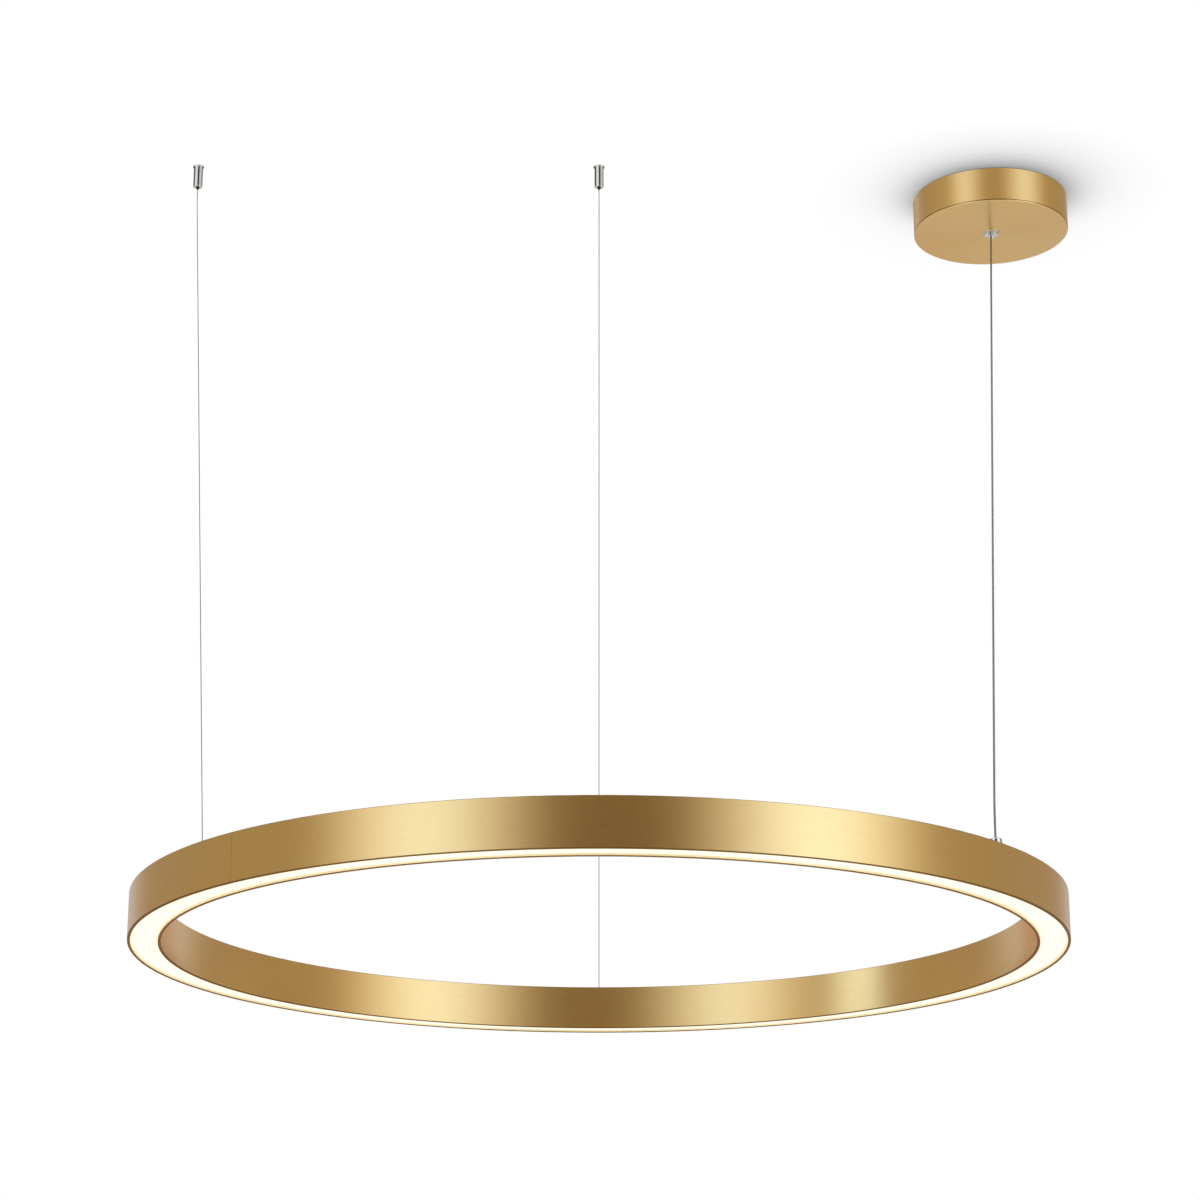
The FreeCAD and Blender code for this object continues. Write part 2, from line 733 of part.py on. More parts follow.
def make_anchor(doc, s, side):
    """A wire gripper: cap, tapered sleeve, collet, balls and spring."""
    x, y = line_head(s, side)
    lip_low = -s.cap_height
    spigot_low = lip_low - s.cap_spigot_length
    sleeve_low = lip_low - s.grip_length
    throat_top = sleeve_low + s.grip_throat_length
    taper_top = throat_top + s.grip_taper_length
    chamber_top = spigot_low
    sink = s.cap_sink_radius - s.cap_bore_radius
    cap = turned(doc, "anchor_cap_" + side, [
        (s.cap_bore_radius, 0), (s.cap_radius, 0), (s.cap_radius, -s.cap_lip),
        (s.grip_radius + s.cap_overhang, lip_low), (s.cap_spigot_radius, lip_low),
        (s.cap_spigot_radius, spigot_low), (s.cap_sink_radius, spigot_low),
        (s.cap_bore_radius, spigot_low + sink)])
    edge = s.edge_break
    throat = s.grip_throat_radius
    chamber = s.grip_chamber_radius
    socket = s.cap_spigot_radius + s.running_gap
    sleeve = turned(doc, "gripper_body_" + side, [
        (throat, sleeve_low), (s.grip_radius - edge, sleeve_low),
        (s.grip_radius, sleeve_low + edge), (s.grip_radius, lip_low), (socket, lip_low),
        (socket, chamber_top), (chamber, chamber_top), (chamber, taper_top),
        (throat, throat_top)])
    gap = s.collet_gap
    bore = s.wire_diameter / 2 + s.running_gap
    tip = sleeve_low - s.collet_nose
    head_top = taper_top + s.collet_head_length
    blank = turned(doc, "collet_blank_" + side, [
        (bore, tip), (s.collet_tip_radius, tip), (throat - gap, sleeve_low - s.collet_land),
        (throat - gap, throat_top), (chamber - gap, taper_top), (chamber - gap, head_top),
        (bore, head_top)])
    ball_height = throat_top + s.grip_taper_length / 2
    ball_middle = s.wire_diameter / 2 + s.ball_radius + s.contact_gap
    pockets, balls = [], []
    for i in range(GRIP_BALLS):
        angle = 360.0 / GRIP_BALLS * i
        pocket = cylinder(doc, "ball_pocket_%s_%d" % (side, i), s.ball_radius + s.running_gap,
                          chamber, 0, 0, ball_height)
        pocket.Placement.Rotation = (Rotation(Vector(0, 0, 1), angle)
                                     * Rotation(Vector(0, 1, 0), 90))
        pockets.append(pocket)
        ball = doc.addObject("Part::Sphere", "ball_%s_%d" % (side, i))
        bind(ball, Radius=s.ball_radius)
        way = math.radians(angle)
        balls.append(place(ball, ball_middle * math.cos(way), ball_middle * math.sin(way),
                           ball_height))
    collet = cut(doc, "grip_collet_" + side, blank, pockets)
    balls = group(doc, "grip_balls_" + side, balls)
    things = [cap, sleeve, collet, balls]
    for thing in things:
        place(thing, x, y, 0)
    spring = make_spring(doc, s, side, head_top, spigot_low)
    spring.Placement = Placement(vector(x, y, 0), Rotation())
    return things + [spring]


def make_spring(doc, s, side, low, high):
    """A helical spring of square wire between the collet's head and the cap's spigot."""
    half = s.spring_wire.value / 2
    end_gap = half + s.spring_end_gap.value
    start, end = low.value + end_gap, high.value - end_gap
    radius = s.grip_chamber_radius - s.collet_gap - s.running_gap - half
    radius = radius.value
    pitch = (end - start) / s.spring_turns.value
    helix = Part.makeHelix(pitch, end - start, radius)
    helix.translate(Vector(0, 0, start))
    path = Part.Wire(helix.Edges)
    corners = [Vector(radius + x * half, 0, start + z * half)
               for x, z in ((-1, -1), (1, -1), (1, 1), (-1, 1), (-1, -1))]
    section = Part.makePolygon(corners)
    thing = doc.addObject("Part::Feature", "grip_spring_" + side)
    thing.Shape = path.makePipeShell([section], True, True)
    return label(thing, "grip_spring_" + side)


def make_wire(doc, s, side):
    """A steel wire, upright in its gripper and in its bush, and straight between."""
    x, y = line_head(s, side)
    low = -s.channel_web - s.bush_flange_height
    route = [vector(x, y, -s.wire_tail), vector(x, y, -s.wire_corner_drop),
             foot_point(s, side, ring_top(s) + s.wire_corner_rise),
             foot_point(s, side, ring_top(s) + low)]
    return cord(doc, "suspension_wire_" + side, route, s.wire_diameter.value)


def make_feed_cable(doc, s):
    """The feed cable, from the block in the canopy to the connector in the ring."""
    end = ring_low(s) + s.ledge_height + s.connector_height
    route = [cable_point(s, -s.cable_end_depth.value), cable_corner(s),
             foot_point(s, "feed", end)]
    return cord(doc, "feed_cable", route, s.cable_diameter.value)


# ---------------------------------------------------------------------------- canopy

def place_at_canopy(thing, s, x=0, y=0, z=0):
    return place(thing, s.canopy_across + x, s.canopy_back + y, z)


def make_canopy_cover(doc, s):
    """The spun cover, its dished washer and the nut behind the washer."""
    outer, depth = s.canopy_radius, s.canopy_height
    corner = s.canopy_round
    hole = s.washer_sleeve_radius + s.canopy_hole_gap
    steps = []
    for degrees in (0, 30, 60, 90):
        angle = math.radians(degrees)
        steps.append((outer - corner * (1 - math.sin(angle)),
                      -depth + corner * (1 - math.cos(angle))))
    cover = turned(doc, "canopy_cover", [
        (hole, -depth), *steps, (outer, 0), (outer - s.canopy_wall, 0),
        (outer - s.canopy_wall, s.canopy_face - depth), (hole, s.canopy_face - depth)])
    sleeve, dish = s.washer_sleeve_radius, s.washer_dish_radius
    deep, lip, edge = s.washer_dish_depth, s.washer_lip, s.washer_edge
    inside, back = sleeve - s.washer_sleeve_wall, deep + s.washer_floor
    washer = turned(doc, "gland_washer", [
        (s.washer_hole_radius, deep),
        (s.washer_hole_radius + s.washer_seat_width, deep - s.washer_seat_drop), (dish, 0),
        (s.washer_radius - edge, 0), (s.washer_radius, edge), (s.washer_radius, lip),
        (sleeve, lip), (sleeve, s.washer_sleeve_height), (inside, s.washer_sleeve_height),
        (inside, back), (s.washer_hole_radius, back)])
    face = lip + s.canopy_face
    nut = turned(doc, "gland_nut", [
        (sleeve + s.running_gap, face), (s.ring_nut_radius, face),
        (s.ring_nut_radius, face + s.ring_nut_height),
        (sleeve + s.running_gap, face + s.ring_nut_height)])
    place_at_canopy(cover, s)
    for thing in (washer, nut):
        place_at_canopy(thing, s, z=-s.canopy_height - s.washer_lip)
    return [cover, washer, nut]


def make_cord_grip(doc, s):
    """The ferrule that clamps the cable. Its ball nose seats in the dished washer."""
    bore = s.cable_diameter / 2 + s.running_gap
    radius, low = s.cord_grip_radius, -s.cord_grip_length
    chamfer = s.small_chamfer
    barrel = turned(doc, "cord_grip_barrel", [
        (bore, low), (radius - chamfer, low), (radius, low + chamfer), (radius, 0), (bore, 0)])
    nose = doc.addObject("Part::Sphere", "cord_grip_ball")
    bind(nose, Radius=s.cord_grip_nose - s.contact_gap)
    hole = cylinder(doc, "cord_grip_way", bore, s.cord_grip_nose * 2 + 2, 0, 0,
                    -s.cord_grip_nose - 1)
    ball = cut(doc, "cord_grip_nose_piece", nose, [hole])
    grip = fuse(doc, "cord_grip", [barrel, ball])
    grip.Placement = Placement(grip_pivot(s), Rotation(Vector(0, 0, 1), cable_direction(s)))
    return [grip]


def make_mounting_plate(doc, s):
    """The round plate against the ceiling, with two slots and the mains way."""
    thick = s.plate_thickness
    disc = cylinder(doc, "plate_disc", s.plate_radius, thick, 0, 0, -thick)
    tools = []
    for side in (-1, 1):
        middle = side * s.slot_spacing / 2
        run = s.slot_length - s.slot_width
        ends = [cylinder(doc, "slot_end_%d_%d" % (side, end), s.slot_width / 2, thick + 2,
                         middle + end * run / 2, 0, -thick - 1) for end in (-1, 1)]
        bar = block(doc, "slot_bar_%d" % side, run, s.slot_width, thick + 2,
                    middle - run / 2, -s.slot_width / 2, -thick - 1)
        tools.extend(ends + [bar])
    tools.append(cylinder(doc, "mains_way", s.mains_hole_radius, thick + 2,
                          -s.mains_hole_across, 0, -thick - 1))
    for i, (x, y) in enumerate(plate_screw_places(s)):
        tools.append(cylinder(doc, "plate_thread_%d" % i, s.screw_radius, thick + 2,
                              x, y, -thick - 1))
    plate = cut(doc, "mounting_plate", disc, tools)
    return [place_at_canopy(plate, s)]


def driver_screw_places(s):
    across = s.driver_length / 2 + s.driver_ear / 2
    return [(-across, s.driver_back), (across, s.driver_back)]


def plate_screw_places(s):
    """Two driver screws, and the terminal block's screw."""
    return driver_screw_places(s) + [(size(0), -s.terminal_front)]


def make_driver(doc, s):
    """The LED driver with an ear at each end, and its two screws."""
    case = padded(doc, "driver_case", s.driver_length, s.driver_width, s.driver_height,
                  corner=s.driver_round)
    place(case, 0, s.driver_back, -s.plate_thickness - s.driver_height)
    ears = padded(doc, "driver_ears", s.driver_length + s.driver_ear * 2, s.driver_ear_width,
                  s.driver_ear_thickness, corner=s.driver_round)
    place(ears, 0, s.driver_back, -s.plate_thickness - s.driver_ear_thickness)
    whole = fuse(doc, "driver_whole", [case, ears])
    face = -s.plate_thickness - s.driver_ear_thickness
    holes, screws = [], []
    for i, (x, y) in enumerate(driver_screw_places(s)):
        holes.append(cylinder(doc, "driver_hole_%d" % i, s.screw_radius + s.running_gap,
                              s.driver_ear_thickness + 2, x, y, face - 1))
        screws.append(pan_screw(doc, "driver_screw_%d" % i, s,
                                s.driver_ear_thickness + s.plate_thickness, x, y, face))
    driver = cut(doc, "led_driver", whole, holes)
    return [place_at_canopy(driver, s), place_at_canopy(group(doc, "driver_screws", screws), s)]


def make_terminal_block(doc, s):
    """The mains terminal block: three ways, six clamp screws and one fixing screw."""
    low = -s.plate_thickness - s.terminal_height
    recess = s.terminal_screw_recess
    body = padded(doc, "terminal_body", s.terminal_length, s.terminal_width,
                  s.terminal_height, corner=s.terminal_round)
    place(body, 0, -s.terminal_front, low)
    ways, clamps = [], []
    for i in range(TERMINAL_POLES):
        x = (i - (TERMINAL_POLES - 1) / 2.0) * s.terminal_pitch
        way = cylinder(doc, "terminal_way_%d" % i, s.terminal_way_radius,
                       s.terminal_width + 2, x, -s.terminal_front + s.terminal_width / 2 + 1,
                       low + s.terminal_height / 2 - 1)
        way.Placement.Rotation = Rotation(Vector(1, 0, 0), 90)
        ways.append(way)
        for row in (-1, 1):
            y = row * s.terminal_width / 4 - s.terminal_front
            name = "%d_%d" % (i, row)
            deep = s.terminal_height / 2 - 1
            ways.append(cylinder(doc, "clamp_hole_" + name, s.terminal_screw_radius, deep,
                                 x, y, low - 0.5))
            clamps.append(cylinder(doc, "clamp_screw_" + name,
                                   s.terminal_screw_radius - s.thread_gap,
                                   deep - recess * 2, x, y, low + recess))
    fixing_way = cylinder(doc, "fixing_way", s.screw_radius, s.terminal_height + 2,
                          0, -s.terminal_front, low - 1)
    pocket = cylinder(doc, "fixing_pocket", s.screw_head_radius + s.running_gap,
                      s.screw_head_height + recess + 0.5, 0, -s.terminal_front, low - 0.5)
    block_piece = cut(doc, "terminal_block", body, ways + [fixing_way, pocket])
    fixing = pan_screw(doc, "terminal_fixing_screw", s,
                       s.terminal_height - s.screw_head_height - recess + s.plate_thickness,
                       0, -s.terminal_front, low + s.screw_head_height + recess)
    things = [block_piece, group(doc, "terminal_screws", clamps), fixing]
    return [place_at_canopy(thing, s) for thing in things]


def make_cable_block(doc, s):
    """The block that holds the feed cable under the plate, and its clamp screw."""
    half = s.cable_block_size / 2
    low = -s.plate_thickness - s.cable_block_height
    middle = cable_point(s, low.value / 2)
    body = padded(doc, "cable_block_body", s.cable_block_size, s.cable_block_size,
                  s.cable_block_height, corner=s.cable_block_round)
    place(body, middle.x, middle.y, low)
    way = doc.addObject("Part::Cylinder", "cable_block_way")
    bind(way, Radius=s.cable_diameter / 2, Height=s.cable_block_height * 2)
    end = cable_point(s, -s.cable_end_depth.value)
    way.Placement = Placement(end, Rotation(Vector(0, 0, 1), -cable_direction(s)))
    height = low.value + s.cable_block_height.value * 0.4
    axis = cable_point(s, height)
    gap = s.cable_diameter.value / 2 + s.block_screw_gap.value
    recess = s.block_screw_recess.value
    edge = middle.x - half.value
    hole = doc.addObject("Part::Cylinder", "block_screw_hole")
    bind(hole, Radius=s.block_screw_radius, Height=s.cable_block_size / 2)
    screw = doc.addObject("Part::Cylinder", "cable_block_screw")
    bind(screw, Radius=s.block_screw_radius - s.thread_gap)
    screw.Height = axis.x - gap - edge - recess
    towards = Rotation(Vector(0, 1, 0), 90)
    hole.Placement = Placement(Vector(edge - 0.5, axis.y, height), towards)
    screw.Placement = Placement(Vector(edge + recess, axis.y, height), towards)
    anchor = cut(doc, "cable_block", body, [way, hole])
    return [anchor, screw]


def make_canopy_leads(doc, s):
    """The leads from the terminal block to the driver, and from it to the cable block."""
    x, y = s.canopy_across.value, s.canopy_back.value
    half = s.driver_length.value / 2
    out = half + s.canopy_lead_aside.value
    diameter = s.canopy_lead_diameter.value
    run, rise = s.input_lead_run.value, s.input_lead_rise.value
    height = -s.plate_thickness.value - s.driver_height.value / 2
    front = -s.terminal_front.value
    back = s.driver_back.value
    start = -s.terminal_length.value / 2

    def point(across, along, high):
        return Vector(x + across, y + along, high)

    mains = cord(doc, "driver_input_lead", [
        point(start, front, height), point(start - run, front, height),
        point(-out, front + rise, height), point(-out, back, height),
        point(-half, back, height)], diameter)
    block_low = -s.plate_thickness.value - s.cable_block_height.value
    middle = cable_point(s, block_low / 2)
    edge = middle.x - x + s.cable_block_size.value / 2
    along = middle.y - y
    level = block_low * 0.6
    run, rise = s.output_lead_run.value, s.output_lead_rise.value
    output = cord(doc, "driver_output_lead", [
        point(edge, along, level), point(edge + run, along, level),
        point(out, along + rise, level), point(out, back, level),
        point(half, back, level)], diameter)
    return [mains, output]


# ----------------------------------------------------------------------------- whole

def make_parts(doc, s):
    parts = [make_ring_channel(doc, s), make_diffuser(doc, s)]
    parts += make_splice(doc, s)
    parts += make_light_source(doc, s)
    for side in ("left", "centre"):
        parts += make_wire_end(doc, s, side)
        parts += make_anchor(doc, s, side)
        parts.append(make_wire(doc, s, side))
    parts += make_feed_gland(doc, s)
    parts += make_ring_connector(doc, s)
    parts.append(make_feed_cable(doc, s))
    parts += make_canopy_cover(doc, s)
    parts += make_cord_grip(doc, s)
    parts += make_mounting_plate(doc, s)
    parts += make_driver(doc, s)
    parts += make_terminal_block(doc, s)
    parts += make_cable_block(doc, s)
    parts += make_canopy_leads(doc, s)
    return parts


def check(doc, parts):
    """Stop if anything failed to build."""
    for thing in doc.Objects:
        if "Invalid" in thing.State or "Error" in thing.State:
            raise RuntimeError("%s is %s" % (thing.Name, thing.State))
    for part in parts:
        if part.Shape.isNull() or not part.Shape.isValid() or not part.Shape.Solids:
            raise RuntimeError("%s has no valid solid" % part.Label)


def main():
    doc = FreeCAD.newDocument("led_ring_chandelier")
    s = Sizes(make_sheet(doc))
    parts = make_parts(doc, s)
    doc.recompute()
    check(doc, parts)
    os.makedirs("parts", exist_ok=True)
    for part in parts:
        part.Shape.exportStep("parts/%s.step" % part.Label)
        print("%-26s %d solids, %.1f mm3" % (part.Label, len(part.Shape.Solids), part.Shape.Volume))
    print("%d nodes" % len(parts))


main()
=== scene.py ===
"""LED ring chandelier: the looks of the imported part, laid out as an add-on.

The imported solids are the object. This file gives them their finishes, puts stranded
wires and a twisted cable in place of the plain round ones, lets the grippers' springs
shorten, and builds the studio.
Lengths are in metres. Azimuth 0 is towards the camera and 90 towards +X.
"""

import json
import math

import bmesh
import bpy
from bpy.props import FloatProperty, FloatVectorProperty, IntProperty, PointerProperty
from mathutils import Matrix, Vector
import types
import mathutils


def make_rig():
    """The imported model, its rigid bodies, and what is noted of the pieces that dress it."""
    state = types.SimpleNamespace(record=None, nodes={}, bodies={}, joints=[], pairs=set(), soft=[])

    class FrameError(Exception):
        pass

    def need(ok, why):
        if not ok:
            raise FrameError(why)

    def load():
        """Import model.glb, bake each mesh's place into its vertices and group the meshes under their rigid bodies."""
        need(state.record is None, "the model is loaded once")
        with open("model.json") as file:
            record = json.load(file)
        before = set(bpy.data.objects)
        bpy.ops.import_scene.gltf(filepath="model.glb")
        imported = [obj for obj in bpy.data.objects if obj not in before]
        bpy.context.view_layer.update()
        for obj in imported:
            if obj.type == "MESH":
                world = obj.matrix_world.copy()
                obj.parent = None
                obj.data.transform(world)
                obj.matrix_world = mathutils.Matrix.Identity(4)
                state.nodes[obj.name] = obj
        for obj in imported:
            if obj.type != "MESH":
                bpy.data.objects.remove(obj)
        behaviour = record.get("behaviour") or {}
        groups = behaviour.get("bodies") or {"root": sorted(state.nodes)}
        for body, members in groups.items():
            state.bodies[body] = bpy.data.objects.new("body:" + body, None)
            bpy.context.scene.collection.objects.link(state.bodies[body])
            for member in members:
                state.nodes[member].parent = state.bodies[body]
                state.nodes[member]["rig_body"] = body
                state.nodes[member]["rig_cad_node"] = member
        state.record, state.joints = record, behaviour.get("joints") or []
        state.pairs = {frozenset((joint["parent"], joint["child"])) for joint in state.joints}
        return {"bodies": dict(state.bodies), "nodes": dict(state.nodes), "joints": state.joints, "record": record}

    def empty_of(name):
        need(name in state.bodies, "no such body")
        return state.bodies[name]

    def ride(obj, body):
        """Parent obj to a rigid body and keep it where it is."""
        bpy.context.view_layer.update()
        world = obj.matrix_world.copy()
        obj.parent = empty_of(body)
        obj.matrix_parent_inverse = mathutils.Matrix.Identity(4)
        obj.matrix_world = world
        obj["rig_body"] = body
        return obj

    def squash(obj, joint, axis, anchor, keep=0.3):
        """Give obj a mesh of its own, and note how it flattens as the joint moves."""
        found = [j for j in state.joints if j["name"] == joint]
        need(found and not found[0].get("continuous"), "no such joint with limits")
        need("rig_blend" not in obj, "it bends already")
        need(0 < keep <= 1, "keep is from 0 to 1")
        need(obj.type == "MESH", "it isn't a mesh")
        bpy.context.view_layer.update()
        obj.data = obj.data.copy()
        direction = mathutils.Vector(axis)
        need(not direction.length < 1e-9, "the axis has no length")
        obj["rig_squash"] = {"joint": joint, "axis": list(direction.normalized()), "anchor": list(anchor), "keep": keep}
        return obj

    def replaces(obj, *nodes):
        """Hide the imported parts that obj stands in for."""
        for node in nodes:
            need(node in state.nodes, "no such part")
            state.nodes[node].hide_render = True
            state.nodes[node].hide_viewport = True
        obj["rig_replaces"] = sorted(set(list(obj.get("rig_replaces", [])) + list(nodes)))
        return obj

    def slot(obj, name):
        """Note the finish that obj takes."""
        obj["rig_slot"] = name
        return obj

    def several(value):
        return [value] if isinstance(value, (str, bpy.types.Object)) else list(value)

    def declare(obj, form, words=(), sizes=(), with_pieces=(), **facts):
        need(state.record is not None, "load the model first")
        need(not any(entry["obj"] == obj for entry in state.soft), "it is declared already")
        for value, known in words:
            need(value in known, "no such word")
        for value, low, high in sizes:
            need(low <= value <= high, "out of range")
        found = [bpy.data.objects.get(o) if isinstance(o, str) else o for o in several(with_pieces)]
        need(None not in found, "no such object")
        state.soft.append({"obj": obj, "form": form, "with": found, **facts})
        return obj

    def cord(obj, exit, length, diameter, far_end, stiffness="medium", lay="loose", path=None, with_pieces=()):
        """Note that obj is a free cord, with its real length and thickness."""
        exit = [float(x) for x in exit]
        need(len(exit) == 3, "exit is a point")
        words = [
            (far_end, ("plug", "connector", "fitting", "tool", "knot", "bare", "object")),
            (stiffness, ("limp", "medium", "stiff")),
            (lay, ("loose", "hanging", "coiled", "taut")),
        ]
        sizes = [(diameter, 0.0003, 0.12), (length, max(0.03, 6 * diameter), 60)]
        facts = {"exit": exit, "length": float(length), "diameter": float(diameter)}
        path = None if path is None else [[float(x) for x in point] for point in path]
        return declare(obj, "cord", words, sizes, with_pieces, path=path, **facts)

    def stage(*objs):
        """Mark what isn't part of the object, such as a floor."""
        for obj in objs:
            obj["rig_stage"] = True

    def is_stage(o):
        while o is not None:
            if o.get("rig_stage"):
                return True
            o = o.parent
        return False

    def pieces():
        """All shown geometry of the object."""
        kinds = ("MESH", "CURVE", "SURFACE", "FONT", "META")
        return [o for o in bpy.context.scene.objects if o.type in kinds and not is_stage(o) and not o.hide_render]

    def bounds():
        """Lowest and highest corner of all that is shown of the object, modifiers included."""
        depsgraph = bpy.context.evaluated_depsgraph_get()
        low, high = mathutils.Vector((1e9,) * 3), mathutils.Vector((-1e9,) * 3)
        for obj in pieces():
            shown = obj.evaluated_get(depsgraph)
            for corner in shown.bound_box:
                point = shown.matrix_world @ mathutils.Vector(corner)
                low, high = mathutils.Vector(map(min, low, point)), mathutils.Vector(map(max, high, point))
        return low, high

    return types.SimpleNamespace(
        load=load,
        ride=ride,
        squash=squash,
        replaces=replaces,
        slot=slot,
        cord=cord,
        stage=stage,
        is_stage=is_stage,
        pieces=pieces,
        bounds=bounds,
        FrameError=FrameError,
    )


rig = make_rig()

bl_info = {
    "name": "LED ring chandelier",
    "version": (1, 0, 0),
    "blender": (4, 5, 0),
    "location": "View3D > Sidebar > Chandelier",
    "description": "Finishes, wires, leads and studio for an LED ring chandelier",
    "category": "Object",
}

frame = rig.load()
CAD_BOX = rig.bounds()
NODES = frame["nodes"]

MM = 0.001
FULL_TURN = 2 * math.pi
IMAGE_WIDTH = 1200
WHITE = (1, 1, 1, 1)


# ---------------------------------------------------------------- places and pieces

# Axes that the brushed and spun metal runs around, in plan.
RING_AXIS = (0.0, 0.031)
CANOPY_AXIS = (0.462, 0.092)

# The ring channel's section: middle and half of its width, heights and broken edges.
CHANNEL_MIDDLE = 0.4825
CHANNEL_HALF = 17.5 * MM
RING_TOP = -0.863
RING_LOW = -0.913
EDGE_BREAK = 0.52 * MM

# Height of the painted shade along the low edge, and the depth and height of the walls by the opal that carry a painted
# highlight of its light.
LOW_EDGE_SHADE = 1.6 * EDGE_BREAK
PAINTED_OPAL_LIGHT_DEPTH = 2.7 * MM
PAINTED_OPAL_LIGHT_HEIGHT = 5.2 * MM

# How far from the channel's middle the opal's light starts and ends to fall off.
GLOW_FALL = (11 * MM, 14.5 * MM)

# Height at which the canopy's wall turns into its face, and half of the line there.
CANOPY_LINE = -0.0394
CANOPY_LINE_HALF = 0.45 * MM

# The grippers' springs: height of their seat, and how far the plungers go in.
SPRING_SEAT = -9.0 * MM
RELEASE_TRAVEL = 2.0 * MM

# Routes of the cords, from where they leave one fitting to where they enter the next.
WIRE_LEFT = [(-0.462, 0, -0.012), (-0.462, 0, -0.030), (-0.462, 0, -0.043),
             (-0.460345, -0.005897, -0.062039), (-0.392739, -0.246772, -0.839673),
             (-0.39158, -0.25090, -0.853), (-0.39158, -0.25090, -0.867)]
WIRE_CENTRE = [(0, 0, -0.012), (0, 0, -0.030), (0, 0, -0.043), (0, 0.010709, -0.059892),
               (0, 0.506004, -0.841176), (0, 0.5135, -0.853), (0, 0.5135, -0.867)]
FEED_CABLE = [(0.465143, 0.107303, -0.006), (0.396501, -0.226938, -0.770213),
              (0.39158, -0.25090, -0.825), (0.39158, -0.25090, -0.852),
              (0.39158, -0.25090, -0.885)]
INPUT_LEAD = [(0.447, 0.050, -0.0135), (0.425, 0.050, -0.0135), (0.394, 0.074, -0.0135),
              (0.394, 0.134, -0.0135), (0.414, 0.134, -0.0135)]
OUTPUT_LEAD = [(0.473008, 0.106648, -0.009), (0.503008, 0.106648, -0.009),
               (0.530, 0.114648, -0.009), (0.530, 0.134, -0.009),
               (0.510, 0.134, -0.009)]

# Steps of a route's curve, points along one turn of the strands, and a lead's step.
ROUTE_STEPS = 48
WIRE_POINTS = 8
CABLE_POINTS = 16
LEAD_STEP = 1 * MM

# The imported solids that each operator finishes.
RING_NODES = ["ring_channel", "diffuser", "splice_plate", "splice_screws",
              "led_carrier", "carrier_screws", "led_strip", "led_phosphor",
              "feed_gland_body", "feed_gland_cap", "feed_gland_nut", "ring_connector",
              "ring_lead", "wire_bush_left", "wire_bush_centre", "wire_stop_left",
              "wire_stop_centre"]
ANCHOR_NODES = [kind + side for side in ("left", "centre")
                for kind in ("anchor_cap_", "gripper_body_", "grip_collet_",
                             "grip_balls_")]
CANOPY_NODES = ["canopy_cover", "gland_washer", "gland_nut", "cord_grip",
                "mounting_plate", "led_driver", "driver_screws", "terminal_block",
                "terminal_screws", "terminal_fixing_screw", "cable_block",
                "cable_block_screw"]


# -------------------------------------------------------------------- studio values

# Camera: its place, its turn in degrees, and its focal length in image pixels.
CAMERA_PLACE = (0.0, -3.143, -1.5345)
CAMERA_PITCH = 17.81
CAMERA_YAW = -0.02
CAMERA_FOCUS = 3000

# Half of the floor's and the ceiling patch's width, and the patch's middle.
FLOOR_HALF = 9.0
CEILING_HALF = 0.9
CEILING_MIDDLE = (0.05, 0.05, 0.5 * MM)

# Shade on the ceiling around the canopy: how far it reaches, the distances from the
# canopy's axis where it fades out, its depth beside the axis, what a metre towards the
# camera adds to that depth, and the least depth.
SHADE_REACH = 0.12
SHADE_FADE = (0.15, 0.3)
SHADE_DEPTH = 1.1
SHADE_SLOPE = 9.0
SHADE_LEAST = 0.5

# Soft lamps: name, place, width and power. All aim at one point.
LAMP_AIM = (0, 0.1, -0.6)
LAMPS = [("key_lamp", (-2.2, -2.6, 1.6), 1.8, 55),
         ("fill_lamp", (2.6, -1.8, 0.6), 2.0, 25)]

# Degrees between the upright edges of a curved card.
CARD_STEP = 5

# Backdrops, dark behind the camera and paler towards the back: name, heights, and stops
# as shares of half a turn with colours. They start at one azimuth, alike on both sides.
BACKDROP_AZIMUTH = 2
BACKDROP_DISTANCE = 5.0
BACKDROPS = [
    ("backdrop_low", (-2.3, 0.9), [(0.08, "604C2C"), (0.5, "B2A48C"), (0.75, "B0A090"),
                                   (0.87, "D2D0D8"), (0.97, "C49C7C")]),
    ("backdrop_high", (0.9, 5.5), [(0.1, "B8A484"), (0.5, "B8A88C"), (0.75, "B0A494"),
                                   (0.87, "D2D0D8"), (0.97, "B8A080")]),
]

# Light panels, cool white: name, azimuth, half of the width, heights, colour, strength.
PANEL_DISTANCE = 4.8
PANEL_SIDES = "CCCCC4"
PANELS = [
    ("panel_left", -39, 34, (-2.3, 0.9), "C0D8FF", 2.1),
    ("panel_left_high", -41, 37, (0.9, 5.0), "C0D8FF", 0.95),
    ("panel_right", 49.5, 38, (-2.3, 0.9), "C0D8FF", 2.4),
    ("panel_right_high", 50, 40, (0.9, 5.0), "C0D8FF", 0.95),
]

# The low panel at the left: place, turn in degrees, half of the width and its light.
SIDE_PANEL_PLACE = (-1.75, 0.03, -0.5)
SIDE_PANEL_TURN = -6
SIDE_PANEL_HALF = 0.75
SIDE_PANEL_COLOUR = "CCE0FF"
SIDE_PANEL_STRENGTH = 2.3

# Chrome fittings with flags around them: name, place in plan, distance and heights.
FLAGGED = [("anchor_left", (-0.462, 0.0), 0.05, (-0.03, 0.05)),
           ("anchor_centre", (0.0, 0.0), 0.05, (-0.03, 0.05))]

# Flags: name, azimuths and colour, all of one strength.
FLAG_STRENGTH = 1.3
FLAGS = [("flag_left", (-180, -70), "5A5A5D"), ("flag_left_white", (-70, -8), "E8E8EA"),
         ("flag_front", (-8, 36), "464649"), ("flag_right_white", (36, 98), "C8C8CB"),
         ("flag_right", (98, 180), "7C7C80")]


# ------------------------------------------------------------------------- colours

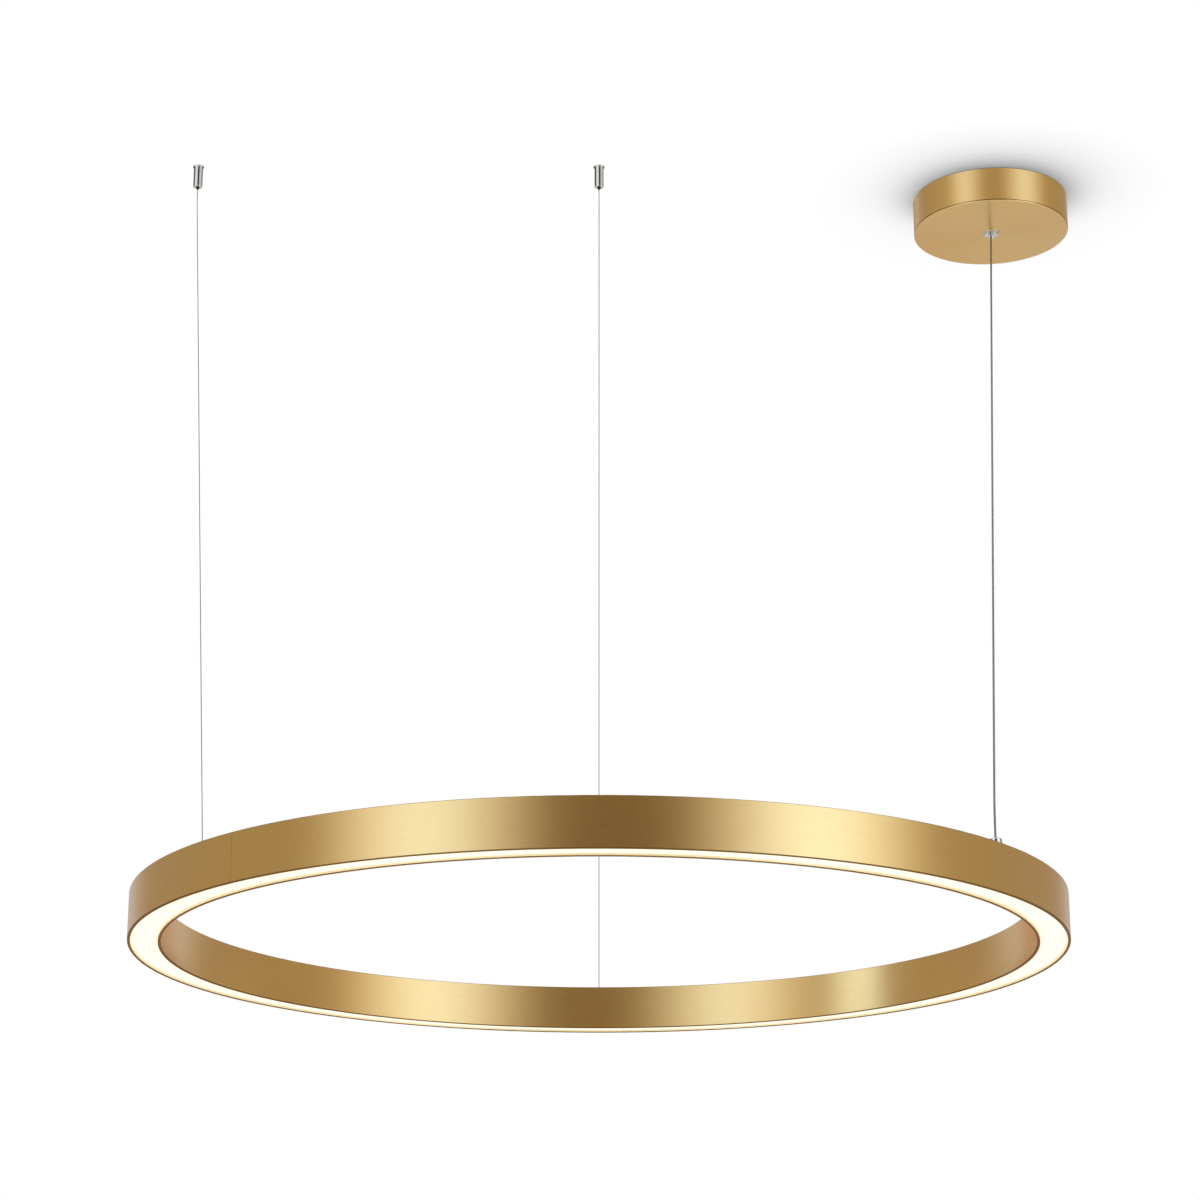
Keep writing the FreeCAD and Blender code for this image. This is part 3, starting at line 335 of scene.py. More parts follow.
def linear(hex_colour):
    """Linear colour with alpha from an sRGB hex value."""
    parts = [int(hex_colour[i:i + 2], 16) / 255 for i in (0, 2, 4)]
    return tuple(c / 12.92 if c <= 0.04045 else ((c + 0.055) / 1.055) ** 2.4
                 for c in parts) + (1.0,)


# -------------------------------------------------------------------- shader nodes

def feed(tree, value, socket):
    """Give a socket a value, or link it to a socket or a node's first live output."""
    if isinstance(value, bpy.types.Node):
        value = next(output for output in value.outputs if output.enabled)
    if isinstance(value, bpy.types.NodeSocket):
        tree.links.new(value, socket)
    else:
        socket.default_value = value


def add(tree, kind, inputs=(), **settings):
    """Add a node with its settings.

    The inputs are keyed by a socket's name or number, or are a plain row for the first
    sockets. Each is a value, or a socket or node to link from. The colour sockets of a
    Mix node have the numbers 6 and 7.
    """
    node = tree.nodes.new(kind)
    for name, value in settings.items():
        setattr(node, name, value)
    pairs = inputs.items() if isinstance(inputs, dict) else enumerate(inputs)
    for name, value in pairs:
        feed(tree, value, node.inputs[name])
    return node


def empty_material(name):
    material = bpy.data.materials.new(name)
    material.use_nodes = True
    material.node_tree.nodes.clear()
    return material, material.node_tree


def finish_of(name, colour, roughness, metallic=0.0, **uniform):
    """A material with one shader. Uniform values sit on the shader's own sockets."""
    material, tree = empty_material(name)
    values = {"Base Color": colour, "Roughness": roughness, "Metallic": metallic}
    values.update({key.replace("_", " "): value for key, value in uniform.items()})
    shader = add(tree, "ShaderNodeBsdfPrincipled", values)
    add(tree, "ShaderNodeOutputMaterial", {"Surface": shader})
    return material, tree, shader


def front_only(tree, surface):
    """A surface that is clear when it is seen from behind."""
    behind = add(tree, "ShaderNodeNewGeometry").outputs["Backfacing"]
    clear = add(tree, "ShaderNodeBsdfTransparent")
    return add(tree, "ShaderNodeMixShader", (behind, surface, clear))


def lay_over(tree, shader, mask, colour):
    """Lay another colour over the shader's own where a mask is 1."""
    socket = shader.inputs["Base Color"]
    own = socket.links[0].from_socket
    feed(tree, add(tree, "ShaderNodeMix", {0: mask, 6: own, 7: colour},
                   data_type="RGBA"), socket)


def vary(tree, shader, pattern, colours, roughness, bump=0.0, depth=0.03 * MM):
    """Let a 0 to 1 pattern drive colour, roughness and bump."""
    tone = add(tree, "ShaderNodeMix", {0: pattern, 6: colours[0], 7: colours[1]},
               data_type="RGBA")
    feed(tree, tone, shader.inputs["Base Color"])
    rough = add(tree, "ShaderNodeMapRange", {"Value": pattern, "To Min": roughness[0],
                                             "To Max": roughness[1]})
    feed(tree, rough, shader.inputs["Roughness"])
    if bump:
        raised = add(tree, "ShaderNodeBump", {"Strength": bump, "Distance": depth,
                                              "Height": pattern})
        feed(tree, raised, shader.inputs["Normal"])


def mottle(tree, size, vector=None, contrast=(0.35, 0.65)):
    """Blots of about one size across, as a pattern that is stretched to fill 0 to 1."""
    if vector is None:
        vector = add(tree, "ShaderNodeTexCoord").outputs["Object"]
    cloud = add(tree, "ShaderNodeTexNoise", {"Vector": vector, "Scale": 1 / size})
    return add(tree, "ShaderNodeMapRange", {
        "Value": cloud, "From Min": contrast[0], "From Max": contrast[1]})


def off_middle(tree, radius):
    """Distance from the middle of the channel's width, at a radius from its axis."""
    off = add(tree, "ShaderNodeMath", (radius, CHANNEL_MIDDLE), operation="SUBTRACT")
    return add(tree, "ShaderNodeMath", (off,), operation="ABSOLUTE")


# ------------------------------------------------------------------------ finishes

def brushed_brass(name, axis, streak, length, roughness):
    """Aluminium, brushed along its length and anodised in a brass colour.

    The brush leaves fine scratches that all run around one upright axis. They stretch
    each highlight across themselves, so light gathers in broad upright bands. The real
    scratches are about 0.2 mm apart, drawn coarser so that some show from 3 m.
    """
    looks = bpy.context.scene.chandelier
    pale, deep = tuple(looks.brass_pale) + (1,), tuple(looks.brass_deep) + (1,)
    material, tree, shader = finish_of(name, pale, roughness, metallic=1.0,
                                       Anisotropic=0.6, Anisotropic_Rotation=0.25)
    here = add(tree, "ShaderNodeTexCoord").outputs["Object"]
    centred = add(tree, "ShaderNodeMapping", {"Vector": here,
                                              "Location": (-axis[0], -axis[1], 0)})
    x, y, z = add(tree, "ShaderNodeSeparateXYZ", (centred,)).outputs
    flat = add(tree, "ShaderNodeCombineXYZ", (x, y))
    radius = add(tree, "ShaderNodeVectorMath", (flat,), operation="LENGTH")
    # Height and radius are added, so that the scratches lie side by side on walls and
    # faces alike. The odd factor keeps them apart on the 45 degree edges too.
    across = add(tree, "ShaderNodeMath", (radius, 1.37, z), operation="MULTIPLY_ADD")
    scratch = add(tree, "ShaderNodeMath", (across, length / streak),
                  operation="MULTIPLY")
    along = add(tree, "ShaderNodeCombineXYZ", (x, y, scratch))
    vary(tree, shader, mottle(tree, length, along, contrast=(0.25, 0.75)),
         (deep, pale), (roughness + 0.01, roughness - 0.01), bump=0.02, depth=0.01 * MM)
    back = add(tree, "ShaderNodeMath", (y, -1.0), operation="MULTIPLY")
    around = add(tree, "ShaderNodeCombineXYZ", (back, x))
    feed(tree, around, shader.inputs["Tangent"])
    return material, tree, shader, radius, z


def channel_brass():
    """The ring's brushed brass, with painted edge shade and a painted highlight beside the opal."""
    material, tree, shader, radius, z = brushed_brass(
        "brushed_brass_channel", RING_AXIS, 0.35 * MM, 25 * MM, 0.28)
    away = off_middle(tree, radius)
    # Painted highlight: the walls that the opal lights are painted pale, for its light on them.
    inside = add(tree, "ShaderNodeMath", (away, CHANNEL_HALF - PAINTED_OPAL_LIGHT_DEPTH),
                 operation="LESS_THAN")
    under = add(tree, "ShaderNodeMath", (z, RING_LOW + PAINTED_OPAL_LIGHT_HEIGHT),
                operation="LESS_THAN")
    bare = add(tree, "ShaderNodeMath", (inside, under), operation="MULTIPLY")
    lay_over(tree, shader, bare, linear("F6E7C4"))
    # Painted shade: the cut ends of the walls and their broken edges are painted dark, and their gloss is tinted warm.
    low = add(tree, "ShaderNodeMath", (z, RING_LOW + LOW_EDGE_SHADE), operation="LESS_THAN")
    high = add(tree, "ShaderNodeMath", (z, RING_TOP - EDGE_BREAK),
               operation="GREATER_THAN")
    outside = add(tree, "ShaderNodeMath", (away, CHANNEL_HALF - EDGE_BREAK),
                  operation="GREATER_THAN")
    corner = add(tree, "ShaderNodeMath", (high, outside), operation="MULTIPLY")
    edges = add(tree, "ShaderNodeMath", (low, corner), operation="MAXIMUM")
    lay_over(tree, shader, edges, linear("7D5C2F"))
    tint = add(tree, "ShaderNodeMix", {0: edges, 6: WHITE, 7: linear("E7D2BC")},
               data_type="RGBA")
    feed(tree, tint, shader.inputs["Specular Tint"])
    return material


def canopy_brass():
    """The canopy's spun brass, with a dark line where the wall turns into the face."""
    material, tree, shader, _, z = brushed_brass(
        "spun_brass_canopy", CANOPY_AXIS, 0.4 * MM, 25 * MM, 0.33)
    line = add(tree, "ShaderNodeMath", (z, CANOPY_LINE, CANOPY_LINE_HALF),
               operation="COMPARE")
    # A tenth of the metal's own colour shows through the line.
    line = add(tree, "ShaderNodeMath", (line, 0.9), operation="MULTIPLY")
    lay_over(tree, shader, line, linear("5C3C14"))
    return material


def lit_opal():
    """Opal acrylic, 2 mm thick, evenly lit warm white from behind.

    It hides the strip. The light falls off and warms a little towards the two rims.
    """
    looks = bpy.context.scene.chandelier
    material, tree, shader = finish_of(
        "opal_acrylic_lit", linear("B2B1A8"), 0.35, IOR=1.49, Specular_IOR_Level=0.4,
        Emission_Strength=looks.glow)
    here = add(tree, "ShaderNodeTexCoord").outputs["Object"]
    centred = add(tree, "ShaderNodeMapping", {
        "Vector": here, "Location": (-RING_AXIS[0], -RING_AXIS[1], 0),
        "Scale": (1, 1, 0)})
    radius = add(tree, "ShaderNodeVectorMath", (centred,), operation="LENGTH")
    edge = add(tree, "ShaderNodeMapRange", {
        "Value": off_middle(tree, radius), "From Min": GLOW_FALL[0],
        "From Max": GLOW_FALL[1]}, interpolation_type="SMOOTHSTEP")
    ramp = add(tree, "ShaderNodeValToRGB", {"Fac": edge})
    ramp.color_ramp.elements[0].color = tuple(looks.glow_colour) + (1,)
    ramp.color_ramp.elements[1].color = linear("FBE9C4")
    feed(tree, ramp, shader.inputs["Emission Color"])
    grain = mottle(tree, 0.8 * MM)
    bumps = add(tree, "ShaderNodeBump", {"Strength": 0.05, "Distance": 0.01 * MM,
                                         "Height": grain})
    feed(tree, bumps, shader.inputs["Normal"])
    return material


def plain_metal(name, colours, roughness, size, **uniform):
    """Metal whose surface varies a little in tone and gloss over blots of one size."""
    material, tree, shader = finish_of(name, linear(colours[0]), roughness[0],
                                       metallic=1.0, **uniform)
    vary(tree, shader, mottle(tree, size), (linear(colours[0]), linear(colours[1])),
         roughness)
    return material


def spangled_sheet():
    """Galvanised steel: zinc crystals some 5 mm across, each at its own gloss."""
    material, tree, shader = finish_of("galvanised_sheet", linear("C6C8CA"), 0.4,
                                       metallic=1.0)
    here = add(tree, "ShaderNodeTexCoord").outputs["Object"]
    crystals = add(tree, "ShaderNodeTexVoronoi", {"Vector": here,
                                                  "Scale": 1 / (5 * MM)})
    tone = add(tree, "ShaderNodeSeparateColor", (crystals.outputs["Color"],))
    vary(tree, shader, tone.outputs["Red"], (linear("B4B7BB"), linear("D5D7D8")),
         (0.32, 0.5))
    return material


def moulded(name, colours, roughness, grain, bump, **uniform):
    """Moulded or extruded plastic, or a dull patina, with a fine grain."""
    material, tree, shader = finish_of(name, linear(colours[0]), roughness[0], IOR=1.5,
                                       **uniform)
    vary(tree, shader, mottle(tree, grain), (linear(colours[0]), linear(colours[1])),
         roughness, bump)
    return material


def led_board():
    """White solder mask on a flexible board, a little uneven in tone and gloss."""
    material, tree, shader = finish_of("white_flexible_board", linear("F1F0EA"), 0.45,
                                       IOR=1.5)
    vary(tree, shader, mottle(tree, 6 * MM), (linear("F1F0EA"), linear("E4E2D8")),
         (0.4, 0.5))
    return material


# Filled by main, once the settings are registered.
FINISHES = {}


def make_finishes():
    """Every finish, by the name of the record's slot."""
    return {
        "brass_channel": channel_brass(),
        "brass_canopy": canopy_brass(),
        "opal": lit_opal(),
        # Nickel and chromium plate on turned brass: a mirror with faint haze.
        "chrome": plain_metal("polished_chrome_plate", ("DCD9D2", "D3D0C9"),
                              (0.05, 0.11), 3 * MM),
        # Blackened steel: dark, with an oily half gloss.
        "dark_steel": plain_metal("blackened_steel", ("47474A", "2F2F32"),
                                  (0.28, 0.4), 1 * MM),
        # Stranded wire under a dull zinc patina: grey, with a soft gloss.
        "steel_wire": moulded("zinc_patina_on_steel_wire", ("7E7F80", "727374"),
                              (0.4, 0.55), 2 * MM, 0.05, Metallic=0.3),
        # Hard drawn steel: bright, slightly hazed by the die.
        "spring_steel": plain_metal("drawn_spring_steel", ("C9CACC", "B2B4B6"),
                                    (0.25, 0.35), 1 * MM),
        # Mill finish: faint rolling marks and a soft grey gloss.
        "raw_aluminium": plain_metal("mill_finish_aluminium", ("DADBDD", "C8CACC"),
                                     (0.3, 0.42), 12 * MM),
        "strip_board": led_board(),
        # Yellow phosphor in clear silicone, soft and half glossy.
        "phosphor": moulded("phosphor_silicone", ("F4CF4E", "E9BC38"), (0.35, 0.45),
                            1 * MM, 0.1),
        # Zinc plate: bluish, bright, a little cloudy.
        "zinc_screw": plain_metal("zinc_plated_screw", ("D6DAE0", "C4C8CF"),
                                  (0.2, 0.34), 1.5 * MM),
        "plate_steel": spangled_sheet(),
        # Spark-eroded mould texture on polycarbonate, about 0.4 mm from peak to peak.
        "driver_case": moulded("moulded_polycarbonate", ("F0F0EE", "E6E6E3"),
                               (0.45, 0.58), 0.4 * MM, 0.35),
        # Nylon: milky, smoother than the driver's case.
        "terminal_plastic": moulded("moulded_nylon", ("ECE9DC", "E2DECF"),
                                    (0.35, 0.48), 0.5 * MM, 0.2),
        # Turned brass, bare: yellow, with a clean half gloss.
        "plain_brass": plain_metal("turned_brass", ("E2C68C", "CFAF70"),
                                   (0.2, 0.34), 0.6 * MM),
        # Soft black vinyl, faintly orange-peeled by the extruder.
        "lead_jacket": moulded("extruded_vinyl_jacket", ("2B2B2D", "232325"),
                               (0.32, 0.42), 0.7 * MM, 0.15),
        # The same vinyl in grey, a little glossier.
        "cable_jacket": moulded("grey_vinyl_jacket", ("8A8C8F", "7E8083"),
                                (0.28, 0.38), 0.7 * MM, 0.15),
    }


def dress(names):
    """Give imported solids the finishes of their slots."""
    slots = {part["node"]: part["material_slot"]
             for part in frame["record"]["subparts"]}
    for name in names:
        node = NODES[name]
        node.data.materials.clear()
        node.data.materials.append(FINISHES[slots[name]])


def release_spring(side):
    """A gripper's coil spring, which shortens to its seat as the plunger goes in."""
    node = NODES["grip_spring_" + side]
    mesh = node.data.copy()
    mesh.transform(node.matrix_world)
    mesh.materials.clear()
    mesh.materials.append(FINISHES["spring_steel"])
    piece = bpy.data.objects.new("coil_spring_" + side, mesh)
    bpy.context.collection.objects.link(piece)
    length = SPRING_SEAT - min(vertex.co.z for vertex in mesh.vertices)
    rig.ride(piece, "root")
    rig.squash(piece, "release_" + side, axis=(0, 0, 1), anchor=(0, 0, SPRING_SEAT),
              keep=1 - RELEASE_TRAVEL / length)
    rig.replaces(piece, node.name)
    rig.slot(piece, "spring_steel")


# --------------------------------------------------------------------------- cords

def route_line(name, route):
    """An open curve through space that a route's points pull along."""
    curve = bpy.data.curves.new(name, "CURVE")
    curve.dimensions = "3D"
    spline = curve.splines.new("NURBS")
    spline.points.add(len(route) - 1)
    for point, place in zip(spline.points, route):
        point.co = (*place, 1.0)
    spline.order_u = 3
    spline.use_endpoint_u = True
    spline.resolution_u = ROUTE_STEPS
    return curve


def points_along(route, step):
    """Points a fixed step apart, read from the route's own curve."""
    guide = bpy.data.objects.new("route_guide", route_line("route_guide", route))
    bpy.context.scene.collection.objects.link(guide)
    bpy.context.view_layer.update()
    line = bpy.data.meshes.new_from_object(guide)
    read = [v.co.copy() for v in line.vertices]
    curve = guide.data
    bpy.data.objects.remove(guide)
    bpy.data.curves.remove(curve)
    bpy.data.meshes.remove(line)
    spaced, left = [read[0]], step
    for start, end in zip(read, read[1:]):
        run = (end - start).length
        while left <= run:
            spaced.append(start.lerp(end, left / run))
            left += step
        left -= run
    return spaced


def crossways(points):
    """Each point with two directions across the line there, carried on untwisted."""
    last = len(points) - 1
    side = (points[1] - points[0]).orthogonal()
    for i, point in enumerate(points):
        ahead = (points[min(i + 1, last)] - points[max(i - 1, 0)]).normalized()
        side = (side - ahead * side.dot(ahead)).normalized()
        yield point, side, ahead.cross(side)


def twisted_cord(name, route, step, pitch, strands, materials):
    """A cord of round strands laid helically around the route's line.

    A strand is its radius, its distance from the line, its place around it from 0 to 1,
    and which material it has. The strands are swept as bevelled curves.
    """
    points = points_along(route, step)
    across = list(crossways(points))
    thick = max(strand[0] for strand in strands)
    curve = bpy.data.curves.new(name, "CURVE")
    curve.dimensions = "3D"
    curve.bevel_depth = thick
    curve.bevel_resolution = 1
    curve.use_fill_caps = True
    for material in materials:
        curve.materials.append(material)
    for radius, out, share, finish in strands:
        spline = curve.splines.new("POLY")
        spline.points.add(len(points) - 1)
        spline.material_index = finish
        spline.use_smooth = True
        for i, (point, side, up) in enumerate(across):
            turn = FULL_TURN * (share + i * step / pitch)
            place = point + (side * math.cos(turn) + up * math.sin(turn)) * out
            spline.points[i].co = (*place, 1.0)
            spline.points[i].radius = radius / thick
    shape = bpy.data.objects.new(name + "_shape", curve)
    bpy.context.scene.collection.objects.link(shape)
    bpy.context.view_layer.update()
    mesh = bpy.data.meshes.new_from_object(shape)
    mesh.name = name
    bpy.data.objects.remove(shape)
    bpy.data.curves.remove(curve)
    piece = bpy.data.objects.new(name, mesh)
    bpy.context.scene.collection.objects.link(piece)
    return piece, points


def hang(piece, node, slot, route, points, diameter, stiffness):
    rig.ride(piece, "root")
    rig.replaces(piece, node)
    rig.slot(piece, slot)
    length = sum((b - a).length for a, b in zip(points, points[1:]))
    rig.cord(piece, exit=route[0], length=length, diameter=diameter, far_end="object",
            stiffness=stiffness, lay="taut", path=points)


# --------------------------------------------------------------------------- stage

def stage_object(name, mesh, material):
    """An object of the studio, which isn't part of the chandelier."""
    mesh.materials.append(material)
    thing = bpy.data.objects.new(name, mesh)
    bpy.context.scene.collection.objects.link(thing)
    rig.stage(thing)
    return thing


def mirrored_card(name, mesh, material):
    """A card of the studio that reflections alone see."""
    card = stage_object(name, mesh, material)
    card.visible_camera = False
    card.visible_diffuse = False
    card.visible_shadow = False


def flat_sheet(name, half, matrix, turned_down=False):
    """A square sheet, facing up unless its matrix turns it or it is turned down."""
    shape = bmesh.new()
    bmesh.ops.create_grid(shape, x_segments=1, y_segments=1, size=half, matrix=matrix)
    if turned_down:
        bmesh.ops.reverse_faces(shape, faces=shape.faces)
    mesh = bpy.data.meshes.new(name)
    shape.to_mesh(mesh)
    shape.free()
    return mesh


def curved_card(name, distance, spread, heights, material, centre=(0, 0)):
    """An upright card curved around the set between two azimuths."""
    shape = bmesh.new()
    start, angle = math.radians(spread[0]), math.radians(spread[1] - spread[0])
    low, high = (shape.verts.new((centre[0] + distance * math.sin(start),
                                  centre[1] - distance * math.cos(start), z))
                 for z in heights)
    edge = shape.edges.new((low, high))
    bmesh.ops.spin(shape, geom=[low, high, edge], axis=(0, 0, 1), cent=(*centre, 0),
                   angle=angle, steps=max(2, round(math.degrees(angle) / CARD_STEP)),
                   use_merge=spread[1] - spread[0] == 360)
    mesh = bpy.data.meshes.new(name)
    shape.to_mesh(mesh)
    shape.free()
    mirrored_card(name, mesh, material)


def away_from(tree, azimuth, reach):
    """Angle around the set from an azimuth, as a share of a reach in degrees."""
    here = add(tree, "ShaderNodeTexCoord").outputs["Object"]
    turned = add(tree, "ShaderNodeVectorRotate", {
        "Vector": here, "Angle": math.radians(-azimuth)}, rotation_type="Z_AXIS")
    x, y, _ = add(tree, "ShaderNodeSeparateXYZ", (turned,)).outputs
    front = add(tree, "ShaderNodeMath", (y, -1.0), operation="MULTIPLY")
    angle = add(tree, "ShaderNodeMath", (x, front), operation="ARCTAN2")
    angle = add(tree, "ShaderNodeMath", (angle,), operation="ABSOLUTE")
    return add(tree, "ShaderNodeMath", (angle, math.radians(reach)), operation="DIVIDE")


def backdrop(name, heights, stops):
    """A cloth all around the set. Its stops are shares of half a turn and colours."""
    material, tree = empty_material(name)
    ramp = add(tree, "ShaderNodeValToRGB", {
        "Fac": away_from(tree, BACKDROP_AZIMUTH, 180)})
    ramp.color_ramp.interpolation = "EASE"
    for _ in stops[2:]:
        ramp.color_ramp.elements.new(0.5)
    for element, (place, colour) in zip(ramp.color_ramp.elements, stops):
        element.position = place
        element.color = linear(colour)
    light = add(tree, "ShaderNodeEmission", {"Color": ramp})
    add(tree, "ShaderNodeOutputMaterial", {"Surface": light})
    around = (BACKDROP_AZIMUTH - 180, BACKDROP_AZIMUTH + 180)
    curved_card(name, BACKDROP_DISTANCE, around, heights, material)


def soft_panel(name, azimuth, half, heights, colour, strength):
    """A tall light panel before the backdrop, which fades and warms to its sides."""
    material, tree = empty_material(name)
    level = add(tree, "ShaderNodeMapRange", {
        "Value": away_from(tree, azimuth, half), "To Min": 1.0, "To Max": 0.0},
        interpolation_type="SMOOTHSTEP")
    tone = add(tree, "ShaderNodeMix", {
        0: level, 6: linear(PANEL_SIDES), 7: linear(colour)}, data_type="RGBA")
    power = add(tree, "ShaderNodeMath", (level, strength), operation="MULTIPLY")
    light = add(tree, "ShaderNodeEmission", {"Color": tone, "Strength": power})
    clear = add(tree, "ShaderNodeBsdfTransparent")
    both = add(tree, "ShaderNodeAddShader", (light, clear))
    add(tree, "ShaderNodeOutputMaterial", {"Surface": both})
    curved_card(name, PANEL_DISTANCE, (azimuth - half, azimuth + half), heights,
                material)


def side_panel():
    """A low panel left of the ring. It faces the back, so the far wall mirrors it."""
    material, tree = empty_material("side_panel")
    light = add(tree, "ShaderNodeEmission", {"Color": linear(SIDE_PANEL_COLOUR),
                                             "Strength": SIDE_PANEL_STRENGTH})
    add(tree, "ShaderNodeOutputMaterial", {"Surface": front_only(tree, light)})
    upright = (Matrix.Translation(SIDE_PANEL_PLACE)
               @ Matrix.Rotation(math.radians(SIDE_PANEL_TURN), 4, "Z")
               @ Matrix.Rotation(math.radians(-90), 4, "X"))
    mirrored_card("side_panel", flat_sheet("side_panel", SIDE_PANEL_HALF, upright),
                  material)


def chrome_flags():
    """Small grey and white cards around the chrome fittings, which mirror them."""
    for fitting, centre, distance, heights in FLAGGED:
        for name, spread, colour in FLAGS:
            name = "%s_%s" % (name, fitting)
            material, tree = empty_material(name)
            light = add(tree, "ShaderNodeEmission", {"Color": linear(colour),
                                                     "Strength": FLAG_STRENGTH})
            add(tree, "ShaderNodeOutputMaterial", {"Surface": light})
            curved_card(name, distance, spread, heights, material, centre)


def ceiling_material():
    """White, darker close around the canopy, and clear from above.

    The shade is deeper before the canopy, because the room's light comes from the back.
    """
    material, tree = empty_material("painted_ceiling")
    shade = add(tree, "ShaderNodeAmbientOcclusion", {"Distance": SHADE_REACH},
                samples=16)
    here = add(tree, "ShaderNodeTexCoord").outputs["Object"]
    off = add(tree, "ShaderNodeVectorMath", (here, (*CANOPY_AXIS, 0)),
              operation="DISTANCE")
    far = add(tree, "ShaderNodeMapRange", {
        "Value": off, "From Min": SHADE_FADE[0], "From Max": SHADE_FADE[1]})
    back = add(tree, "ShaderNodeSeparateXYZ", (here,)).outputs["Y"]
    before = add(tree, "ShaderNodeMath", (CANOPY_AXIS[1], back), operation="SUBTRACT")
    power = add(tree, "ShaderNodeMath", (before, SHADE_SLOPE, SHADE_DEPTH),
                operation="MULTIPLY_ADD")
    power = add(tree, "ShaderNodeMath", (power, SHADE_LEAST), operation="MAXIMUM")
    depth = add(tree, "ShaderNodeMath", (shade.outputs["AO"], power), operation="POWER")
    tone = add(tree, "ShaderNodeMix", {0: far, 6: depth, 7: WHITE}, data_type="RGBA")
    paint = add(tree, "ShaderNodeEmission", {"Color": tone})
    add(tree, "ShaderNodeOutputMaterial", {"Surface": front_only(tree, paint)})
    return material


def floor_material():
    """A pale matt floor with faint roller marks, 0.3 m across, clear from below."""
    material, tree, shader = finish_of("pale_floor", linear("F6F6F5"), 0.8,
                                       Specular_IOR_Level=0.2)
    vary(tree, shader, mottle(tree, 0.3), (linear("F6F6F5"), linear("F3F3F2")),
         (0.75, 0.85))
    output = next(node for node in tree.nodes if node.type == "OUTPUT_MATERIAL")
    feed(tree, front_only(tree, shader), output.inputs["Surface"])
    return material


def make_world(level):
    """White to the eye and in reflections, and a plain soft light on the object."""
    world = bpy.data.worlds.new("white_studio")
    bpy.context.scene.world = world
    world.use_nodes = True
    tree = world.node_tree
    tree.nodes.clear()
    rays = add(tree, "ShaderNodeLightPath").outputs
    seen = add(tree, "ShaderNodeMath", (rays["Is Camera Ray"], rays["Is Glossy Ray"]),
               operation="ADD")
    seen = add(tree, "ShaderNodeMath", (seen, rays["Is Transmission Ray"]),
               operation="ADD", use_clamp=True)
    light = add(tree, "ShaderNodeBackground", {"Color": WHITE, "Strength": level})
    white = add(tree, "ShaderNodeBackground", {"Color": WHITE, "Strength": 1.0})
    mixed = add(tree, "ShaderNodeMixShader", (seen, light, white))
    add(tree, "ShaderNodeOutputWorld", {"Surface": mixed})


def soft_lamp(name, place, size, power):
    """A large soft lamp, kept out of reflections, which the cards look after."""
    data = bpy.data.lights.new(name, "AREA")
    data.size = size
    data.energy = power
    lamp = bpy.data.objects.new(name, data)
    lamp.location = place
    aim = Vector(LAMP_AIM) - Vector(place)
    lamp.rotation_euler = aim.to_track_quat("-Z", "Y").to_euler()
    lamp.visible_glossy = False
    bpy.context.scene.collection.objects.link(lamp)


def make_camera():
    """A long lens from below the ring, turned up and a trace to one side."""
    data = bpy.data.cameras.new("camera")
    data.lens = CAMERA_FOCUS / IMAGE_WIDTH * data.sensor_width
    camera = bpy.data.objects.new("camera", data)
    turn = (Matrix.Rotation(math.radians(CAMERA_YAW), 4, "Z")
            @ Matrix.Rotation(math.radians(90 + CAMERA_PITCH), 4, "X"))
    camera.matrix_world = Matrix.Translation(CAMERA_PLACE) @ turn
    bpy.context.scene.collection.objects.link(camera)
    bpy.context.scene.camera = camera


# -------------------------------------------------------------------------- add-on

class ChandelierLooks(bpy.types.PropertyGroup):
    """Colours and light of the chandelier."""

    brass_pale: FloatVectorProperty(
        name="Brass, pale", description="Brass colour on the crests of the brushing",
        default=linear("E8C786")[:3], subtype="COLOR", min=0, max=1)
    brass_deep: FloatVectorProperty(
        name="Brass, deep", description="Brass colour in the scratches of the brushing",
        default=linear("E4C281")[:3], subtype="COLOR", min=0, max=1)
    glow_colour: FloatVectorProperty(
        name="Glow colour", description="Colour of the lit opal strip",
        default=linear("FFF8E2")[:3], subtype="COLOR", min=0, max=1)
    glow: FloatProperty(
        name="Glow", description="Strength of the lit opal strip", default=0.7, min=0)


class ChandelierLines(bpy.types.PropertyGroup):
    """Sizes of the wires, the feed cable and the leads."""

    wire_diameter: FloatProperty(
        name="Wire diameter", description="Across a suspension wire", default=1.0 * MM,
        unit="LENGTH")
    wire_lay: FloatProperty(
        name="Wire lay", description="Length of one turn of the wire's strands",
        default=7 * MM, unit="LENGTH")
    wire_strands: IntProperty(
        name="Outer strands", description="Strands around the wire's core", default=6,
        min=3, max=8)
    cable_diameter: FloatProperty(
        name="Cable diameter", description="Across the feed cable", default=2.4 * MM,
        unit="LENGTH")
    cable_pitch: FloatProperty(
        name="Cable pitch", description="Length of one turn of the cable's cores",
        default=13 * MM, unit="LENGTH")
    lead_diameter: FloatProperty(
        name="Lead diameter", description="Across a lead in the canopy",
        default=2.4 * MM, unit="LENGTH")


class ChandelierStudio(bpy.types.PropertyGroup):
    """The room around the chandelier."""

    floor_height: FloatProperty(
        name="Floor height", description="Height of the floor, from the ceiling",
        default=-2.35, unit="LENGTH")
    light: FloatProperty(
        name="Soft light", description="Strength of the light from all around",
        default=0.75, min=0)


class CHANDELIER_OT_wires(bpy.types.Operator):
    """Lay the two stranded suspension wires"""
    bl_idname = "chandelier.wires"
    bl_label = "Suspension wires"

    def execute(self, context):
        lines = context.scene.chandelier_lines
        # Six strands fit around a core of their own thickness.
        strand = lines.wire_diameter / 6
        strands = [(strand, 0.0, 0.0, 0)]
        strands += [(strand, 2 * strand, i / lines.wire_strands, 0)
                    for i in range(lines.wire_strands)]
        for side, route in (("left", WIRE_LEFT), ("centre", WIRE_CENTRE)):
            piece, points = twisted_cord("stranded_wire_" + side, route,
                                         lines.wire_lay / WIRE_POINTS, lines.wire_lay,
                                         strands, [FINISHES["steel_wire"]])
            hang(piece, "suspension_wire_" + side, "steel_wire", route, points,
                 lines.wire_diameter, "stiff")
        return {"FINISHED"}


